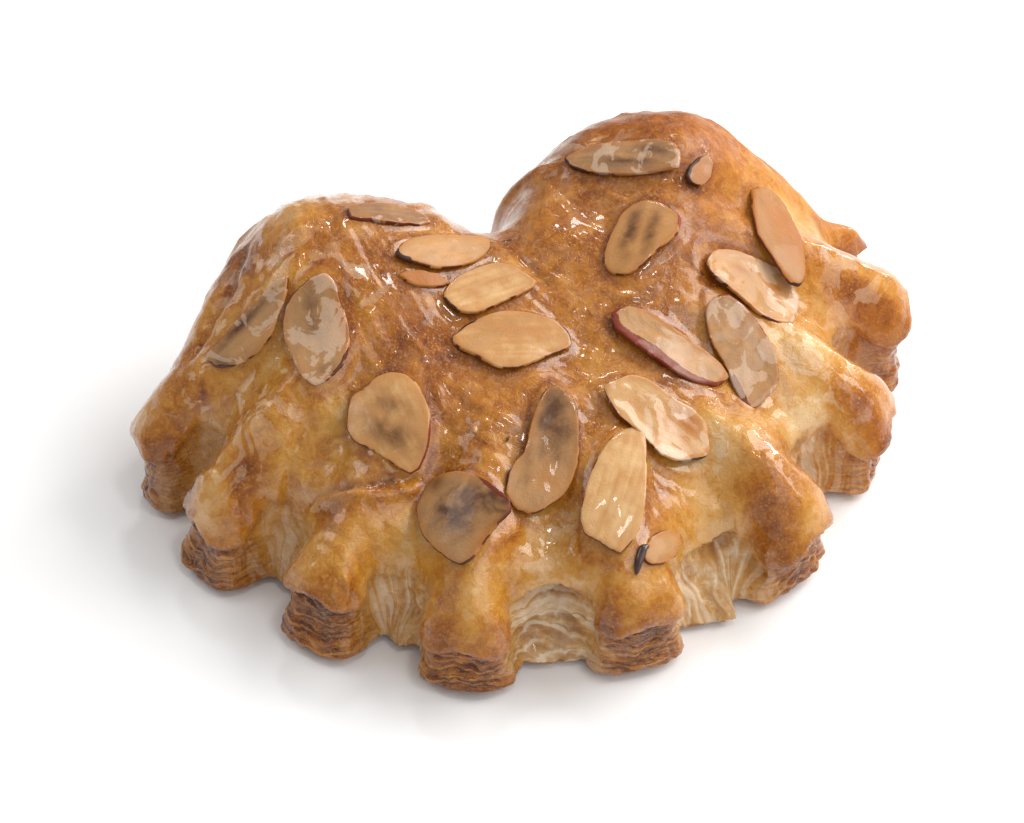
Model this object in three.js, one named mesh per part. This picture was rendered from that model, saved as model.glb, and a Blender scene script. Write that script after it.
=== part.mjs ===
// A bear claw: a folded almond pastry bent into a fan of nine toes, with almond slices on its glazed top.
// Millimetres, +Z up. It rests on z = 0, its toes point towards -Y, and the fold's two humps lie at +Y.
import * as THREE from "three";

// The hub is the middle of the fan. Every place below is measured from it, turns are from +X towards +Y.
const HUB = new THREE.Vector2(-0.89, 13.53);

// One toe: direction, length from the hub, half width, height of its end and lean of its end's foot.
const TOES = [
  { turn: 171.2, reach: 68.0, half: 4.9, rise: 12.0, lean: -1.4 },
  { turn: 188.6, reach: 65.0, half: 6.6, rise: 12.6, lean: 0.8 },
  { turn: 211.2, reach: 63.4, half: 6.9, rise: 14.0, lean: 1.0 },
  { turn: 235.0, reach: 64.4, half: 7.2, rise: 12.0, lean: -0.8 },
  { turn: 262.0, reach: 62.8, half: 7.2, rise: 12.8, lean: -1.8 },
  { turn: 293.2, reach: 62.0, half: 7.8, rise: 14.0, lean: -2.4 },
  { turn: 322.6, reach: 62.8, half: 7.4, rise: 13.0, lean: -2.2 },
  { turn: 345.6, reach: 66.6, half: 7.2, rise: 17.5, lean: -1.3 },
  { turn: 365.5, reach: 69.4, half: 4.6, rise: 10.5, lean: -0.8 },
];

// One cut between two toes: direction, distance of its lip from the hub and lean of its wall's foot.
const CUTS = [
  { turn: 179.2, reach: 55.0, lean: 2.8 },
  { turn: 199.8, reach: 52.6, lean: 4.7 },
  { turn: 223.0, reach: 52.2, lean: 8.4 },
  { turn: 248.2, reach: 53.0, lean: 4.8 },
  { turn: 282.5, reach: 51.4, lean: 9.0 },
  { turn: 309.0, reach: 49.5, lean: 5.4 },
  { turn: 334.0, reach: 52.0, lean: 4.5 },
  { turn: 356.6, reach: 58.0, lean: 3.0 },
];

// The outer edge of the two humps, from the first toe's side round to the cleft, and on to the last toe.
const CLEFT = [0.0, 13.5];
const LEFT_EDGE = [
  { at: [-4.8, 22.3], kind: "back" },
  { at: [-15.4, 30.8], kind: "back" },
  { at: [-29.5, 35.5], kind: "back" },
  { at: [-43.2, 30.6], kind: "back" },
  { at: [-50.2, 20.9], kind: "wing" },
  { at: [-59.8, 16.2], kind: "wing" },
];
const RIGHT_EDGE = [
  { at: [57.9, 13.9], kind: "wing" },
  { at: [52.5, 21.9], kind: "wing" },
  { at: [43.5, 27.0], kind: "back" },
  { at: [29.9, 32.0], kind: "back" },
  { at: [14.3, 28.8], kind: "back" },
  { at: [4.4, 22.6], kind: "back" },
];

// The side of the dough under each stretch of its edge: a rounded shoulder, then a wall with a hollow
// and baked layers, whose foot leans out by lean, is held lift above the ground and turns under by heel.
const SIDES = {
  cut: { shoulder: 2.0, drop: 1.4, lean: 4.5, hollow: 3.4, layer: 0.4, lift: 1.0, heel: 1.0 },
  inner: { shoulder: 2.6, drop: 2.0, lean: 2.8, hollow: 2.4, layer: 0.4, lift: 1.0, heel: 1.0 },
  flank: { shoulder: 3.4, drop: 3.0, lean: 0.5, hollow: 1.2, layer: 0.4, lift: 1.2, heel: 1.0 },
  corner: { shoulder: 2.6, drop: 2.4, lean: -0.6, hollow: 0.8, layer: 0.45, lift: 1.5, heel: 1.2 },
  tip: { shoulder: 2.4, drop: 2.2, lean: -0.8, hollow: 0.8, layer: 0.5, lift: 1.5, heel: 1.2 },
  wing: { shoulder: 5.5, drop: 6.0, lean: -0.5, hollow: 0.8, layer: 0.3, lift: 1.0, heel: 2.0 },
  back: { shoulder: 14.0, drop: 20.0, lean: -2.5, hollow: 0.0, layer: 0.0, lift: 0.4, heel: 4.0 },
  cleft: { shoulder: 8.0, drop: 9.0, lean: 0.0, hollow: 0.0, layer: 0.0, lift: 0.4, heel: 3.0 },
};
const SIDE_SIZES = Object.keys(SIDES.cut);
const LAYERS = 3.5;
const HOLLOW_POWER = 1.2;
const NARROW_CUT = 11.0;

// How the toe's outline is drawn round its end, and how far the sides of a cut stay straight.
const TIP_CORNER = { back: 0.6, across: 0.72 };
const TIP_FLANK = 3.2;
const INNER_FLANK = { out: 2.5, across: 0.9 };
const FLANK_OUT = 1.0;

// The domed top: its height at the hub, how it falls to the toes, the ridges along them and the knuckles.
const DOME = { height: 35.0, power: 2.2 };
const RIDGE = { height: 2.7, from: 23.0, full: 51.0, spread: 26.0 };
const KNUCKLE = { height: 1.0, back: 9.0, width: 6.5 };
const FRONT = { none: 38.0, full: -2.0 };
const LUMPS = [
  { height: 0.55, along: [1 / 5.3, 0], start: 1.1, across: [0, 1 / 6.1], second: 0.4 },
  { height: 0.45, along: [1 / 8.7, 1.7 / 8.7], start: 2.0, across: [0, 0], second: Math.PI / 2 },
  { height: 0.35, along: [1.6 / 6.3, -1 / 6.3], start: 0.7, across: [0, 0], second: Math.PI / 2 },
];

// The two humps of the fold, a dip beside the last toe, and the crease that runs forward from the cleft.
const HUMPS = [
  { at: [-34.6, 16.1], radii: [26.4, 24.7], turn: 9.5, height: 16.5, power: 1.09 },
  { at: [33.7, 12.8], radii: [23.5, 25.0], turn: -19.0, height: 15.3, power: 1.1 },
  { at: [63.0, 11.6], radii: [5.5, 11.0], turn: -30.0, height: -6.4, power: 1.0 },
];
const CREASE = { depth: 2.4, front: -22.5, back: 28.5, narrow: 1.7, spread: 6.7, shift: -1.4, skew: 0.18 };

// The mesh of the dough: points round the edge, rows down its side and rings across its top and sole.
const EDGE_POINTS = 240;
const SHOULDER_ROWS = 4;
const WALL_ROWS = 7;
const HEEL_ROWS = 2;
const CURVE_STEPS = 16;
const TOP_RINGS = 16;
const TOP_THINNING = 1.25;
const SOLE_RINGS = [0.93, 0.74, 0.45, 0.2];
const SOLE_FLAT = 0.72;

// An almond slice: place of its middle, length and width, direction of its tip, how pointed its tip and
// its blunt end are (1 is an ellipse), and where a cut edge is broken off (direction and distance).
const SLICE = { thick: 1.1, gap: 0.55, points: 16, step: 5.0, reach: 0.42, bend: 0.03, inner: 0.55 };
const SLICES = [
  { at: [21.8, 9.0], size: [20.0, 6.6], turn: 146, tip: 1.1, blunt: 1.5 },
  { at: [33.0, 0.6], size: [8.4, 6.2], turn: 20, tip: 0.8, blunt: 1.0, chip: [80, 2.4] },
  { at: [18.4, -6.2], size: [16.4, 10.8], turn: 12, tip: 1.1, blunt: 0.8 },
  { at: [44.0, -10.2], size: [18.0, 8.0], turn: 95, tip: 1.2, blunt: 0.9 },
  { at: [33.6, -16.9], size: [17.6, 10.8], turn: -24, tip: 0.75, blunt: 1.1 },
  { at: [26.6, -27.6], size: [18.8, 8.8], turn: -77, tip: 1.5, blunt: 0.9 },
  { at: [14.2, -23.6], size: [20.6, 7.4], turn: 131, tip: 0.8, blunt: 1.3 },
  { at: [6.6, -35.6], size: [20.5, 9.4], turn: 120, tip: 0.9, blunt: 1.3 },
  { at: [-5.6, -46.0], size: [20.0, 9.8], turn: 50, tip: 1.2, blunt: 1.0, chip: [280, 8.4] },
  { at: [-12.8, -32.8], size: [22.0, 9.8], turn: 52, tip: 0.9, blunt: 1.4 },
  { at: [-29.5, -38.6], size: [15.6, 15.6], turn: 0, tip: 1.0, blunt: 1.0, chip: [280, 5.2] },
  { at: [-34.2, -19.8], size: [17.8, 13.0], turn: 262, tip: 1.25, blunt: 0.8 },
  { at: [-38.8, -1.4], size: [19.0, 10.6], turn: 60, tip: 1.0, blunt: 1.3 },
  { at: [-48.2, 6.6], size: [19.4, 8.0], turn: 10, tip: 1.3, blunt: 0.9 },
  { at: [-19.6, 12.2], size: [14.5, 5.8], turn: 170, tip: 1.3, blunt: 1.1 },
  { at: [-12.8, 4.1], size: [18.4, 6.6], turn: 186, tip: 1.3, blunt: 0.9 },
  { at: [-19.0, -0.6], size: [8.4, 3.0], turn: -24, tip: 1.2, blunt: 1.2 },
  { at: [-8.6, -4.9], size: [17.0, 7.8], turn: 2, tip: 1.0, blunt: 1.1 },
  { at: [-9.6, -14.7], size: [19.6, 9.4], turn: -18, tip: 1.3, blunt: 1.5 },
  { at: [-2.6, -54.4], size: [8.6, 4.8], turn: 16, tip: 1.2, blunt: 1.0 },
];

const DOUGH_COLOUR = "#bf8745";
const ALMOND_COLOUR = "#dcb383";

/** Eased step from 0 to 1 as x goes from one edge value to the other. */
function ease(from, to, x) {
  const t = THREE.MathUtils.clamp((x - from) / (to - from), 0, 1);
  return t * t * (3 - 2 * t);
}

/** Point at a distance and direction from the hub, moved sideways by across. */
function fromHub(reach, turn, across = 0) {
  const angle = THREE.MathUtils.degToRad(turn);
  return [
    Math.cos(angle) * reach - Math.sin(angle) * across,
    Math.sin(angle) * reach + Math.cos(angle) * across,
  ];
}

/** Value between listed marks, along straight lines. */
function between(x, marks, values) {
  let k = 0;
  while (k < marks.length - 2 && x > marks[k + 1]) {
    k += 1;
  }
  const t = THREE.MathUtils.clamp((x - marks[k]) / (marks[k + 1] - marks[k]), 0, 1);
  return values[k] * (1 - t) + values[k + 1] * t;
}

const TOE_TURNS = TOES.map((toe) => toe.turn);
const CUT_TURNS = CUTS.map((cut) => cut.turn);
const CUT_SPREADS = CUTS.map((cut, k) => Math.min((TOES[k + 1].turn - TOES[k].turn) / RIDGE.spread, 1));
const FAN_MARKS = [...TOE_TURNS, ...CUT_TURNS].sort((a, b) => a - b);
const FAN_STEPS = FAN_MARKS.map((mark, k) => k / 2);

/** Height of the dough's top over a place: a dome with ridges along the toes, knuckles, humps and a crease. */
function topHeight(x, y) {
  const far = Math.hypot(x, y);
  let turn = THREE.MathUtils.radToDeg(Math.atan2(y, x));
  if (turn < 95) {
    turn += 360;
  }
  const reach = between(turn, TOE_TURNS, TOES.map((toe) => toe.reach));
  const rise = between(turn, TOE_TURNS, TOES.map((toe) => toe.rise));
  const onToe = Math.cos(2 * Math.PI * between(turn, FAN_MARKS, FAN_STEPS));
  const front = ease(FRONT.none, FRONT.full, y);
  let z = rise + (DOME.height - rise) * (1 - Math.min(far / reach, 1) ** DOME.power);
  const ridge = RIDGE.height * between(turn, CUT_TURNS, CUT_SPREADS);
  z += ridge * ease(RIDGE.from, RIDGE.full, far) * onToe * front;
  const knuckle = Math.exp(-(((reach - KNUCKLE.back - far) / KNUCKLE.width) ** 2));
  z += KNUCKLE.height * knuckle * Math.max(onToe, 0) * front;
  for (const hump of HUMPS) {
    const angle = THREE.MathUtils.degToRad(hump.turn);
    const dx = x - hump.at[0];
    const dy = y - hump.at[1];
    const a = (dx * Math.cos(angle) + dy * Math.sin(angle)) / hump.radii[0];
    const b = (dy * Math.cos(angle) - dx * Math.sin(angle)) / hump.radii[1];
    z += hump.height * Math.exp(-((a * a + b * b) ** hump.power));
  }
  const open = ease(CREASE.front, CREASE.back, y);
  const off = x - CREASE.shift * open;
  const side = off < 0 ? 1 + CREASE.skew : 1 - CREASE.skew;
  const width = (CREASE.narrow + CREASE.spread * open) * side;
  z -= CREASE.depth * open * Math.exp(-((off / width) ** 2));
  for (const lump of LUMPS) {
    const first = Math.sin(x * lump.along[0] + y * lump.along[1] + lump.start);
    const second = Math.sin(x * lump.across[0] + y * lump.across[1] + lump.second);
    z += lump.height * first * second;
  }
  return z;
}

/** How open the cut beside a toe is, from 0.1 for a slit to 1, which scales its lean and hollow. */
function openness(k) {
  const spread = THREE.MathUtils.degToRad(TOES[k + 1].turn - TOES[k].turn);
  const gap = 2 * TOES[k].reach * Math.sin(spread / 2) - TOES[k].half - TOES[k + 1].half;
  return THREE.MathUtils.clamp(gap / NARROW_CUT, 0.1, 1);
}

/** A station of the edge: its place and the sizes of the side under it. */
function station(at, kind, open = 1, lean = SIDES[kind].lean) {
  const side = { ...SIDES[kind], lean: lean * open, hollow: SIDES[kind].hollow * open };
  return { x: at[0], y: at[1], side };
}

/** The stations along one side of a toe, from the cut beside it out to its corner. */
function toeSide(k, sign) {
  const { turn, reach, half, lean } = TOES[k];
  const cut = sign < 0 ? k - 1 : k;
  const row = [];
  if (cut >= 0 && cut < CUTS.length) {
    const open = openness(cut);
    const root = CUTS[cut].reach;
    row.push(station(fromHub(root + INNER_FLANK.out, turn, sign * half * INNER_FLANK.across), "inner", open));
    row.push(station(fromHub((root + reach) / 2 + FLANK_OUT, turn, sign * half), "flank", open));
  }
  row.push(station(fromHub(reach - TIP_FLANK, turn, sign * half), "flank"));
  const corner = fromHub(reach - TIP_CORNER.back, turn, sign * half * TIP_CORNER.across);
  row.push(station(corner, "corner", 1, lean));
  return row;
}

/** Every station of the edge, from the cleft over the left hump, round the toes and back. */
function edgeStations() {
  const row = [station(CLEFT, "cleft")];
  row.push(...LEFT_EDGE.map((spot) => station(spot.at, spot.kind)));
  TOES.forEach((toe, k) => {
    row.push(...toeSide(k, -1));
    row.push(station(fromHub(toe.reach, toe.turn), "tip", 1, toe.lean));
    row.push(...toeSide(k, 1).reverse());
    if (k < CUTS.length) {
      row.push(station(fromHub(CUTS[k].reach, CUTS[k].turn), "cut", openness(k), CUTS[k].lean));
    }
  });
  row.push(...RIGHT_EDGE.map((spot) => station(spot.at, spot.kind)));
  return row;
}

/** The edge as a fine closed curve through the stations, with the side's sizes eased between them. */
function fineEdge() {
  const stations = edgeStations();
  const path = stations.map(({ x, y }) => new THREE.Vector3(x, y, 0));
  const curve = new THREE.CatmullRomCurve3(path, true, "centripetal");
  const row = [];
  stations.forEach(({ side }, k) => {
    const next = stations[(k + 1) % stations.length].side;
    for (let step = 0; step < CURVE_STEPS; step += 1) {
      const t = step / CURVE_STEPS;
      const point = curve.getPoint((k + t) / stations.length);
      const mix = ease(0, 1, t);
      const sizes = {};
      for (const size of SIDE_SIZES) {
        sizes[size] = side[size] * (1 - mix) + next[size] * mix;
      }
      row.push({ x: point.x, y: point.y, ...sizes });
    }
  });
  return row;
}

const FINE_EDGE = fineEdge();
const FINE_LENGTHS = FINE_EDGE.reduce(
  (lengths, spot, k) => {
    const next = FINE_EDGE[(k + 1) % FINE_EDGE.length];
    lengths.push(lengths[k] + Math.hypot(next.x - spot.x, next.y - spot.y));
    return lengths;
  },
  [0],
);

/** The edge at evenly spaced points, each with its side's sizes and its direction into the dough. */
function edge(count) {
  const total = FINE_LENGTHS[FINE_EDGE.length];
  const row = [];
  let k = 0;
  for (let i = 0; i < count; i += 1) {
    const along = (i / count) * total;
    while (FINE_LENGTHS[k + 1] < along) {
      k += 1;
    }
    const t = (along - FINE_LENGTHS[k]) / (FINE_LENGTHS[k + 1] - FINE_LENGTHS[k]);
    const next = FINE_EDGE[(k + 1) % FINE_EDGE.length];
    const spot = {};
    for (const size of ["x", "y", ...SIDE_SIZES]) {
      spot[size] = FINE_EDGE[k][size] * (1 - t) + next[size] * t;
    }
    row.push(spot);
  }
  row.forEach((spot, i) => {
    const next = row[(i + 1) % count];
    const last = row[(i + count - 1) % count];
    const length = Math.hypot(next.x - last.x, next.y - last.y);
    spot.inX = (last.y - next.y) / length;
    spot.inY = (next.x - last.x) / length;
  });
  return row;
}

/** Place at a distance inside the edge. */
function inside(spot, distance) {
  return [spot.x + spot.inX * distance, spot.y + spot.inY * distance];
}

/** Height of the dough's top at the foot of the shoulder, where the side's wall starts. */
function wallTop(spot) {
  return topHeight(spot.x, spot.y) - spot.drop;
}

/** One ring of the top: the edge, inset by the shoulder, shrunk towards the hub. */
function topRing(share) {
  const count = Math.max(10, Math.round(EDGE_POINTS * share ** TOP_THINNING));
  return edge(count).map((spot) => {
    const [x, y] = inside(spot, spot.shoulder);
    return new THREE.Vector3(x * share, y * share, topHeight(x * share, y * share));
  });
}

/** One row of the shoulder, which turns down by a quarter of an ellipse. */
function shoulderRow(spots, share) {
  const angle = (share * Math.PI) / 2;
  return spots.map((spot) => {
    const [x, y] = inside(spot, spot.shoulder * (1 - Math.sin(angle)));
    return new THREE.Vector3(x, y, topHeight(x, y) - spot.drop * (1 - Math.cos(angle)));
  });
}

/** One row of the wall: straight from shoulder to heel, plus the hollow and the baked layers. */
function wallRow(spots, share) {
  const bow = Math.sin(Math.PI * share);
  return spots.map((spot) => {
    const wave = Math.cos(2 * Math.PI * LAYERS * share) * Math.sqrt(Math.max(bow, 0));
    const out = spot.lean * share - spot.hollow * Math.max(bow, 0) ** HOLLOW_POWER + spot.layer * wave;
    const [x, y] = inside(spot, -out);
    const low = spot.lift + spot.heel;
    return new THREE.Vector3(x, y, wallTop(spot) * (1 - share) + low * share);
  });
}

/** One row of the heel, which turns under by a quarter circle. */
function heelRow(spots, share) {
  const angle = (share * Math.PI) / 2;
  return spots.map((spot) => {
    const [x, y] = inside(spot, spot.heel * (1 - Math.cos(angle)) - spot.lean);
    return new THREE.Vector3(x, y, spot.lift + spot.heel * (1 - Math.sin(angle)));
  });
}

/** One ring of the sole, which comes down to the ground and is flat there. */
function soleRing(share) {
  const count = Math.max(10, Math.round(EDGE_POINTS * share));
  return edge(count).map((spot) => {
    const [x, y] = inside(spot, spot.heel - spot.lean);
    return new THREE.Vector3(x * share, y * share, spot.lift * ease(SOLE_FLAT, 1, share));
  });
}

/** Joins rings of points, each with its own count, from a top pole to a bottom pole into a closed solid. */
function closedSolid(topPole, rings, bottomPole) {
  const points = [topPole, ...rings.flat(), bottomPole];
  const faces = [];
  let start = 1;
  rings[0].forEach((point, i) => {
    faces.push(0, start + i, start + ((i + 1) % rings[0].length));
  });
  for (let ring = 0; ring < rings.length - 1; ring += 1) {
    const upper = rings[ring].length;
    const lower = rings[ring + 1].length;
    const below = start + upper;
    let i = 0;
    let j = 0;
    while (i < upper || j < lower) {
      if (j < lower && (i === upper || (j + 0.5) / lower <= (i + 0.5) / upper)) {
        faces.push(start + (i % upper), below + j, below + ((j + 1) % lower));
        j += 1;
      } else {
        faces.push(start + i, below + (j % lower), start + ((i + 1) % upper));
        i += 1;
      }
    }
    start = below;
  }
  const last = rings[rings.length - 1].length;
  for (let i = 0; i < last; i += 1) {
    faces.push(start + i, points.length - 1, start + ((i + 1) % last));
  }
  const geometry = new THREE.BufferGeometry().setFromPoints(points);
  geometry.setIndex(faces);
  return geometry;
}

/** The dough: rings over its top, rows down its side and rings under its sole. */
function doughGeometry() {
  const spots = edge(EDGE_POINTS);
  const shares = (rows) => Array.from({ length: rows }, (item, k) => (k + 1) / rows);
  const rings = [
    ...shares(TOP_RINGS + 1).slice(0, TOP_RINGS).map(topRing),
    shoulderRow(spots, 0),
    ...shares(SHOULDER_ROWS).map((share) => shoulderRow(spots, share)),
    ...shares(WALL_ROWS).map((share) => wallRow(spots, share)),
    ...shares(HEEL_ROWS).map((share) => heelRow(spots, share)),
    ...SOLE_RINGS.map(soleRing),
  ];
  const topPole = new THREE.Vector3(0, 0, topHeight(0, 0));
  return closedSolid(topPole, rings, new THREE.Vector3(0, 0, 0));
}

/** Point of the dough's top over a place, and the directions out of it, along a turn and across it. */
function topFrame(x, y, turn) {
  const step = SLICE.step;
  const slopeX = (topHeight(x + step, y) - topHeight(x - step, y)) / (2 * step);
  const slopeY = (topHeight(x, y + step) - topHeight(x, y - step)) / (2 * step);
  const out = new THREE.Vector3(-slopeX, -slopeY, 1).normalize();
  const angle = THREE.MathUtils.degToRad(turn);
  const along = new THREE.Vector3(Math.cos(angle), Math.sin(angle), 0).projectOnPlane(out).normalize();
  const across = new THREE.Vector3().crossVectors(out, along);
  const middle = new THREE.Vector3(x, y, topHeight(x, y));
  return { middle, along, across, out };
}

/** Bend of the dough's top along a direction, as far as the slice can follow it. */
function bend({ middle, out }, direction, reach) {
  const step = direction.clone().multiplyScalar(reach);
  const ahead = topHeight(middle.x + step.x, middle.y + step.y);
  const behind = topHeight(middle.x - step.x, middle.y - step.y);
  const bent = (ahead + behind - 2 * middle.z) * (out.z / reach ** 2);
  return THREE.MathUtils.clamp(bent, -SLICE.bend, SLICE.bend);
}

/** Outline of a slice: an ellipse whose ends are drawn out to a point or squared, with a broken edge. */
function sliceOutline(slice, share) {
  const [length, width] = slice.size;
  const row = [];
  for (let k = 0; k < SLICE.points; k += 1) {
    const angle = ((k + 0.5) / SLICE.points) * 2 * Math.PI;
    const c = Math.cos(angle);
    const s = Math.sin(angle);
    const power = slice.blunt + (slice.tip - slice.blunt) * (1 + c) * 0.5;
    let a = (length / 2) * c;
    let b = (width / 2) * Math.sign(s) * Math.abs(s) ** power;
    if (slice.chip) {
      const turn = THREE.MathUtils.degToRad(slice.chip[0] - slice.turn);
      const over = a * Math.cos(turn) + b * Math.sin(turn) - slice.chip[1];
      if (over > 0) {
        a -= over * Math.cos(turn);
        b -= over * Math.sin(turn);
      }
    }
    row.push([a * share, b * share]);
  }
  return row;
}

/** Height of a slice's middle face over its own plane: it bends with the dough. */
function sliceHeight(bends, a, b) {
  return 0.5 * (bends[0] * a * a + bends[1] * b * b);
}

/** Least clearance between a slice's lower face, laid on the plane, and the dough under it. */
function sliceClearance(slice, frame, bends) {
  let least = Infinity;
  for (const share of [0, 0.3, 0.55, 0.8, 1]) {
    for (const [a, b] of sliceOutline(slice, share)) {
      const height = sliceHeight(bends, a, b);
      const point = frame.middle.clone();
      point.addScaledVector(frame.along, a);
      point.addScaledVector(frame.across, b);
      point.addScaledVector(frame.out, height);
      least = Math.min(least, (point.z - topHeight(point.x, point.y)) * frame.out.z);
    }
  }
  return least;
}

/** One slice: two curved faces split alike and a rim, laid on the dough with a small gap. */
function sliceMesh(slice, k) {
  const frame = topFrame(slice.at[0], slice.at[1], slice.turn);
  const [length, width] = slice.size;
  const bends = [
    bend(frame, frame.along, length * SLICE.reach),
    bend(frame, frame.across, width * SLICE.reach),
  ];
  const face = (share, up) => sliceOutline(slice, share).map(([a, b]) => {
    return new THREE.Vector3(a, b, sliceHeight(bends, a, b) + up);
  });
  const rings = [face(SLICE.inner, SLICE.thick), face(1, SLICE.thick), face(1, 0), face(SLICE.inner, 0)];
  const geometry = closedSolid(new THREE.Vector3(0, 0, SLICE.thick), rings, new THREE.Vector3(0, 0, 0));
  const mesh = new THREE.Mesh(geometry, almond);
  const lift = SLICE.gap - sliceClearance(slice, frame, bends);
  mesh.position.copy(frame.middle).addScaledVector(frame.out, lift);
  mesh.quaternion.setFromRotationMatrix(new THREE.Matrix4().makeBasis(frame.along, frame.across, frame.out));
  mesh.name = `almond_slice_${String(k + 1).padStart(2, "0")}`;
  return mesh;
}

const dough = new THREE.MeshStandardMaterial({ color: DOUGH_COLOUR, roughness: 0.35, metalness: 0 });
const almond = new THREE.MeshStandardMaterial({ color: ALMOND_COLOUR, roughness: 0.45, metalness: 0 });

const pastry = new THREE.Mesh(doughGeometry(), dough);
pastry.name = "pastry";

const bearClaw = new THREE.Group();
bearClaw.add(pastry, ...SLICES.map(sliceMesh));
bearClaw.position.set(HUB.x, HUB.y, 0);

export default bearClaw;
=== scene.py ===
"""Bear claw: a folded almond pastry in a fan of nine toes, glazed and strewn with almond slices.

Lengths are in millimetres, measured from the hub of the fan, until a mesh is written in metres.
"""

from __future__ import annotations

import logging
from dataclasses import dataclass
from enum import Enum

import bpy
import numpy as np
from mathutils.geometry import delaunay_2d_cdt
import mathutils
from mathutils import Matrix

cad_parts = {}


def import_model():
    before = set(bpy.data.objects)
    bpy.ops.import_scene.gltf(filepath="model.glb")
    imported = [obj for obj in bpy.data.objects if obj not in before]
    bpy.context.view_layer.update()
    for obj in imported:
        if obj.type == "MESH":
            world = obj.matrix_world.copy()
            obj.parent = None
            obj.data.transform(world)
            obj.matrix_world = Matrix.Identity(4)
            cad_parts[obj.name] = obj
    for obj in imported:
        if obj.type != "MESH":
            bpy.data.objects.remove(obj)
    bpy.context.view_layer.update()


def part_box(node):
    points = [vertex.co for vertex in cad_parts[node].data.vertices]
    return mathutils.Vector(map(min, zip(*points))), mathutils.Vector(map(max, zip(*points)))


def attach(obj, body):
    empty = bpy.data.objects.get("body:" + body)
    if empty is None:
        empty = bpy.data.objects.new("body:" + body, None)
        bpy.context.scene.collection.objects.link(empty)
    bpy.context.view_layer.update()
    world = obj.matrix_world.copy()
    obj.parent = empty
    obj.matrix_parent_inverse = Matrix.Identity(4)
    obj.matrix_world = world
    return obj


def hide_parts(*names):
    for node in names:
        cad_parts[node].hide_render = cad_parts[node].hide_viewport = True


log = logging.getLogger("bear_claw")
MILLIMETRE = 0.001
HUB = (-0.89, 13.53)
FULL_TURN = 2.0 * np.pi
TINY = 1e-6
COLUMNS = ("x", "y", "shoulder", "drop", "lean", "hollow", "lift", "heel", "crumb", "crust")

Array = np.ndarray
Values = dict[str, Array]
Place = tuple[float, float]
Vector = tuple[float, float, float]
Paint = tuple[int, int, int]
Stops = tuple[tuple[float, Paint], ...]
Socket = bpy.types.NodeSocket


def ease(start: float, end: float, x: Array) -> Array:
    """Smooth step from 0 to 1 as x goes from start to end: 3t² − 2t³ of the clipped share t."""
    t = np.clip((np.asarray(x, float) - start) / (end - start), 0.0, 1.0)
    return t * t * (3.0 - 2.0 * t)


def bell(x: Array, width: float) -> Array:
    """Bell curve of x: 1 at 0, falling as exp(−(x / width)²)."""
    return np.exp(-((x / width) ** 2))


def turned(x: Array, y: Array, at: Place, turn: float) -> tuple[Array, Array]:
    """Places in plan along and across a direction in degrees, measured from a middle."""
    angle = np.radians(turn)
    dx, dy = x - at[0], y - at[1]
    return dx * np.cos(angle) + dy * np.sin(angle), dy * np.cos(angle) - dx * np.sin(angle)


def linear(red: int, green: int, blue: int) -> tuple[float, float, float, float]:
    """Colour given as on a screen, from 0 to 255 a channel, as linear light with an alpha of 1."""
    share = np.array([red, green, blue]) / 255.0
    light = np.where(share <= 0.04045, share / 12.92, ((share + 0.055) / 1.055) ** 2.4)
    return (float(light[0]), float(light[1]), float(light[2]), 1.0)


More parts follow.
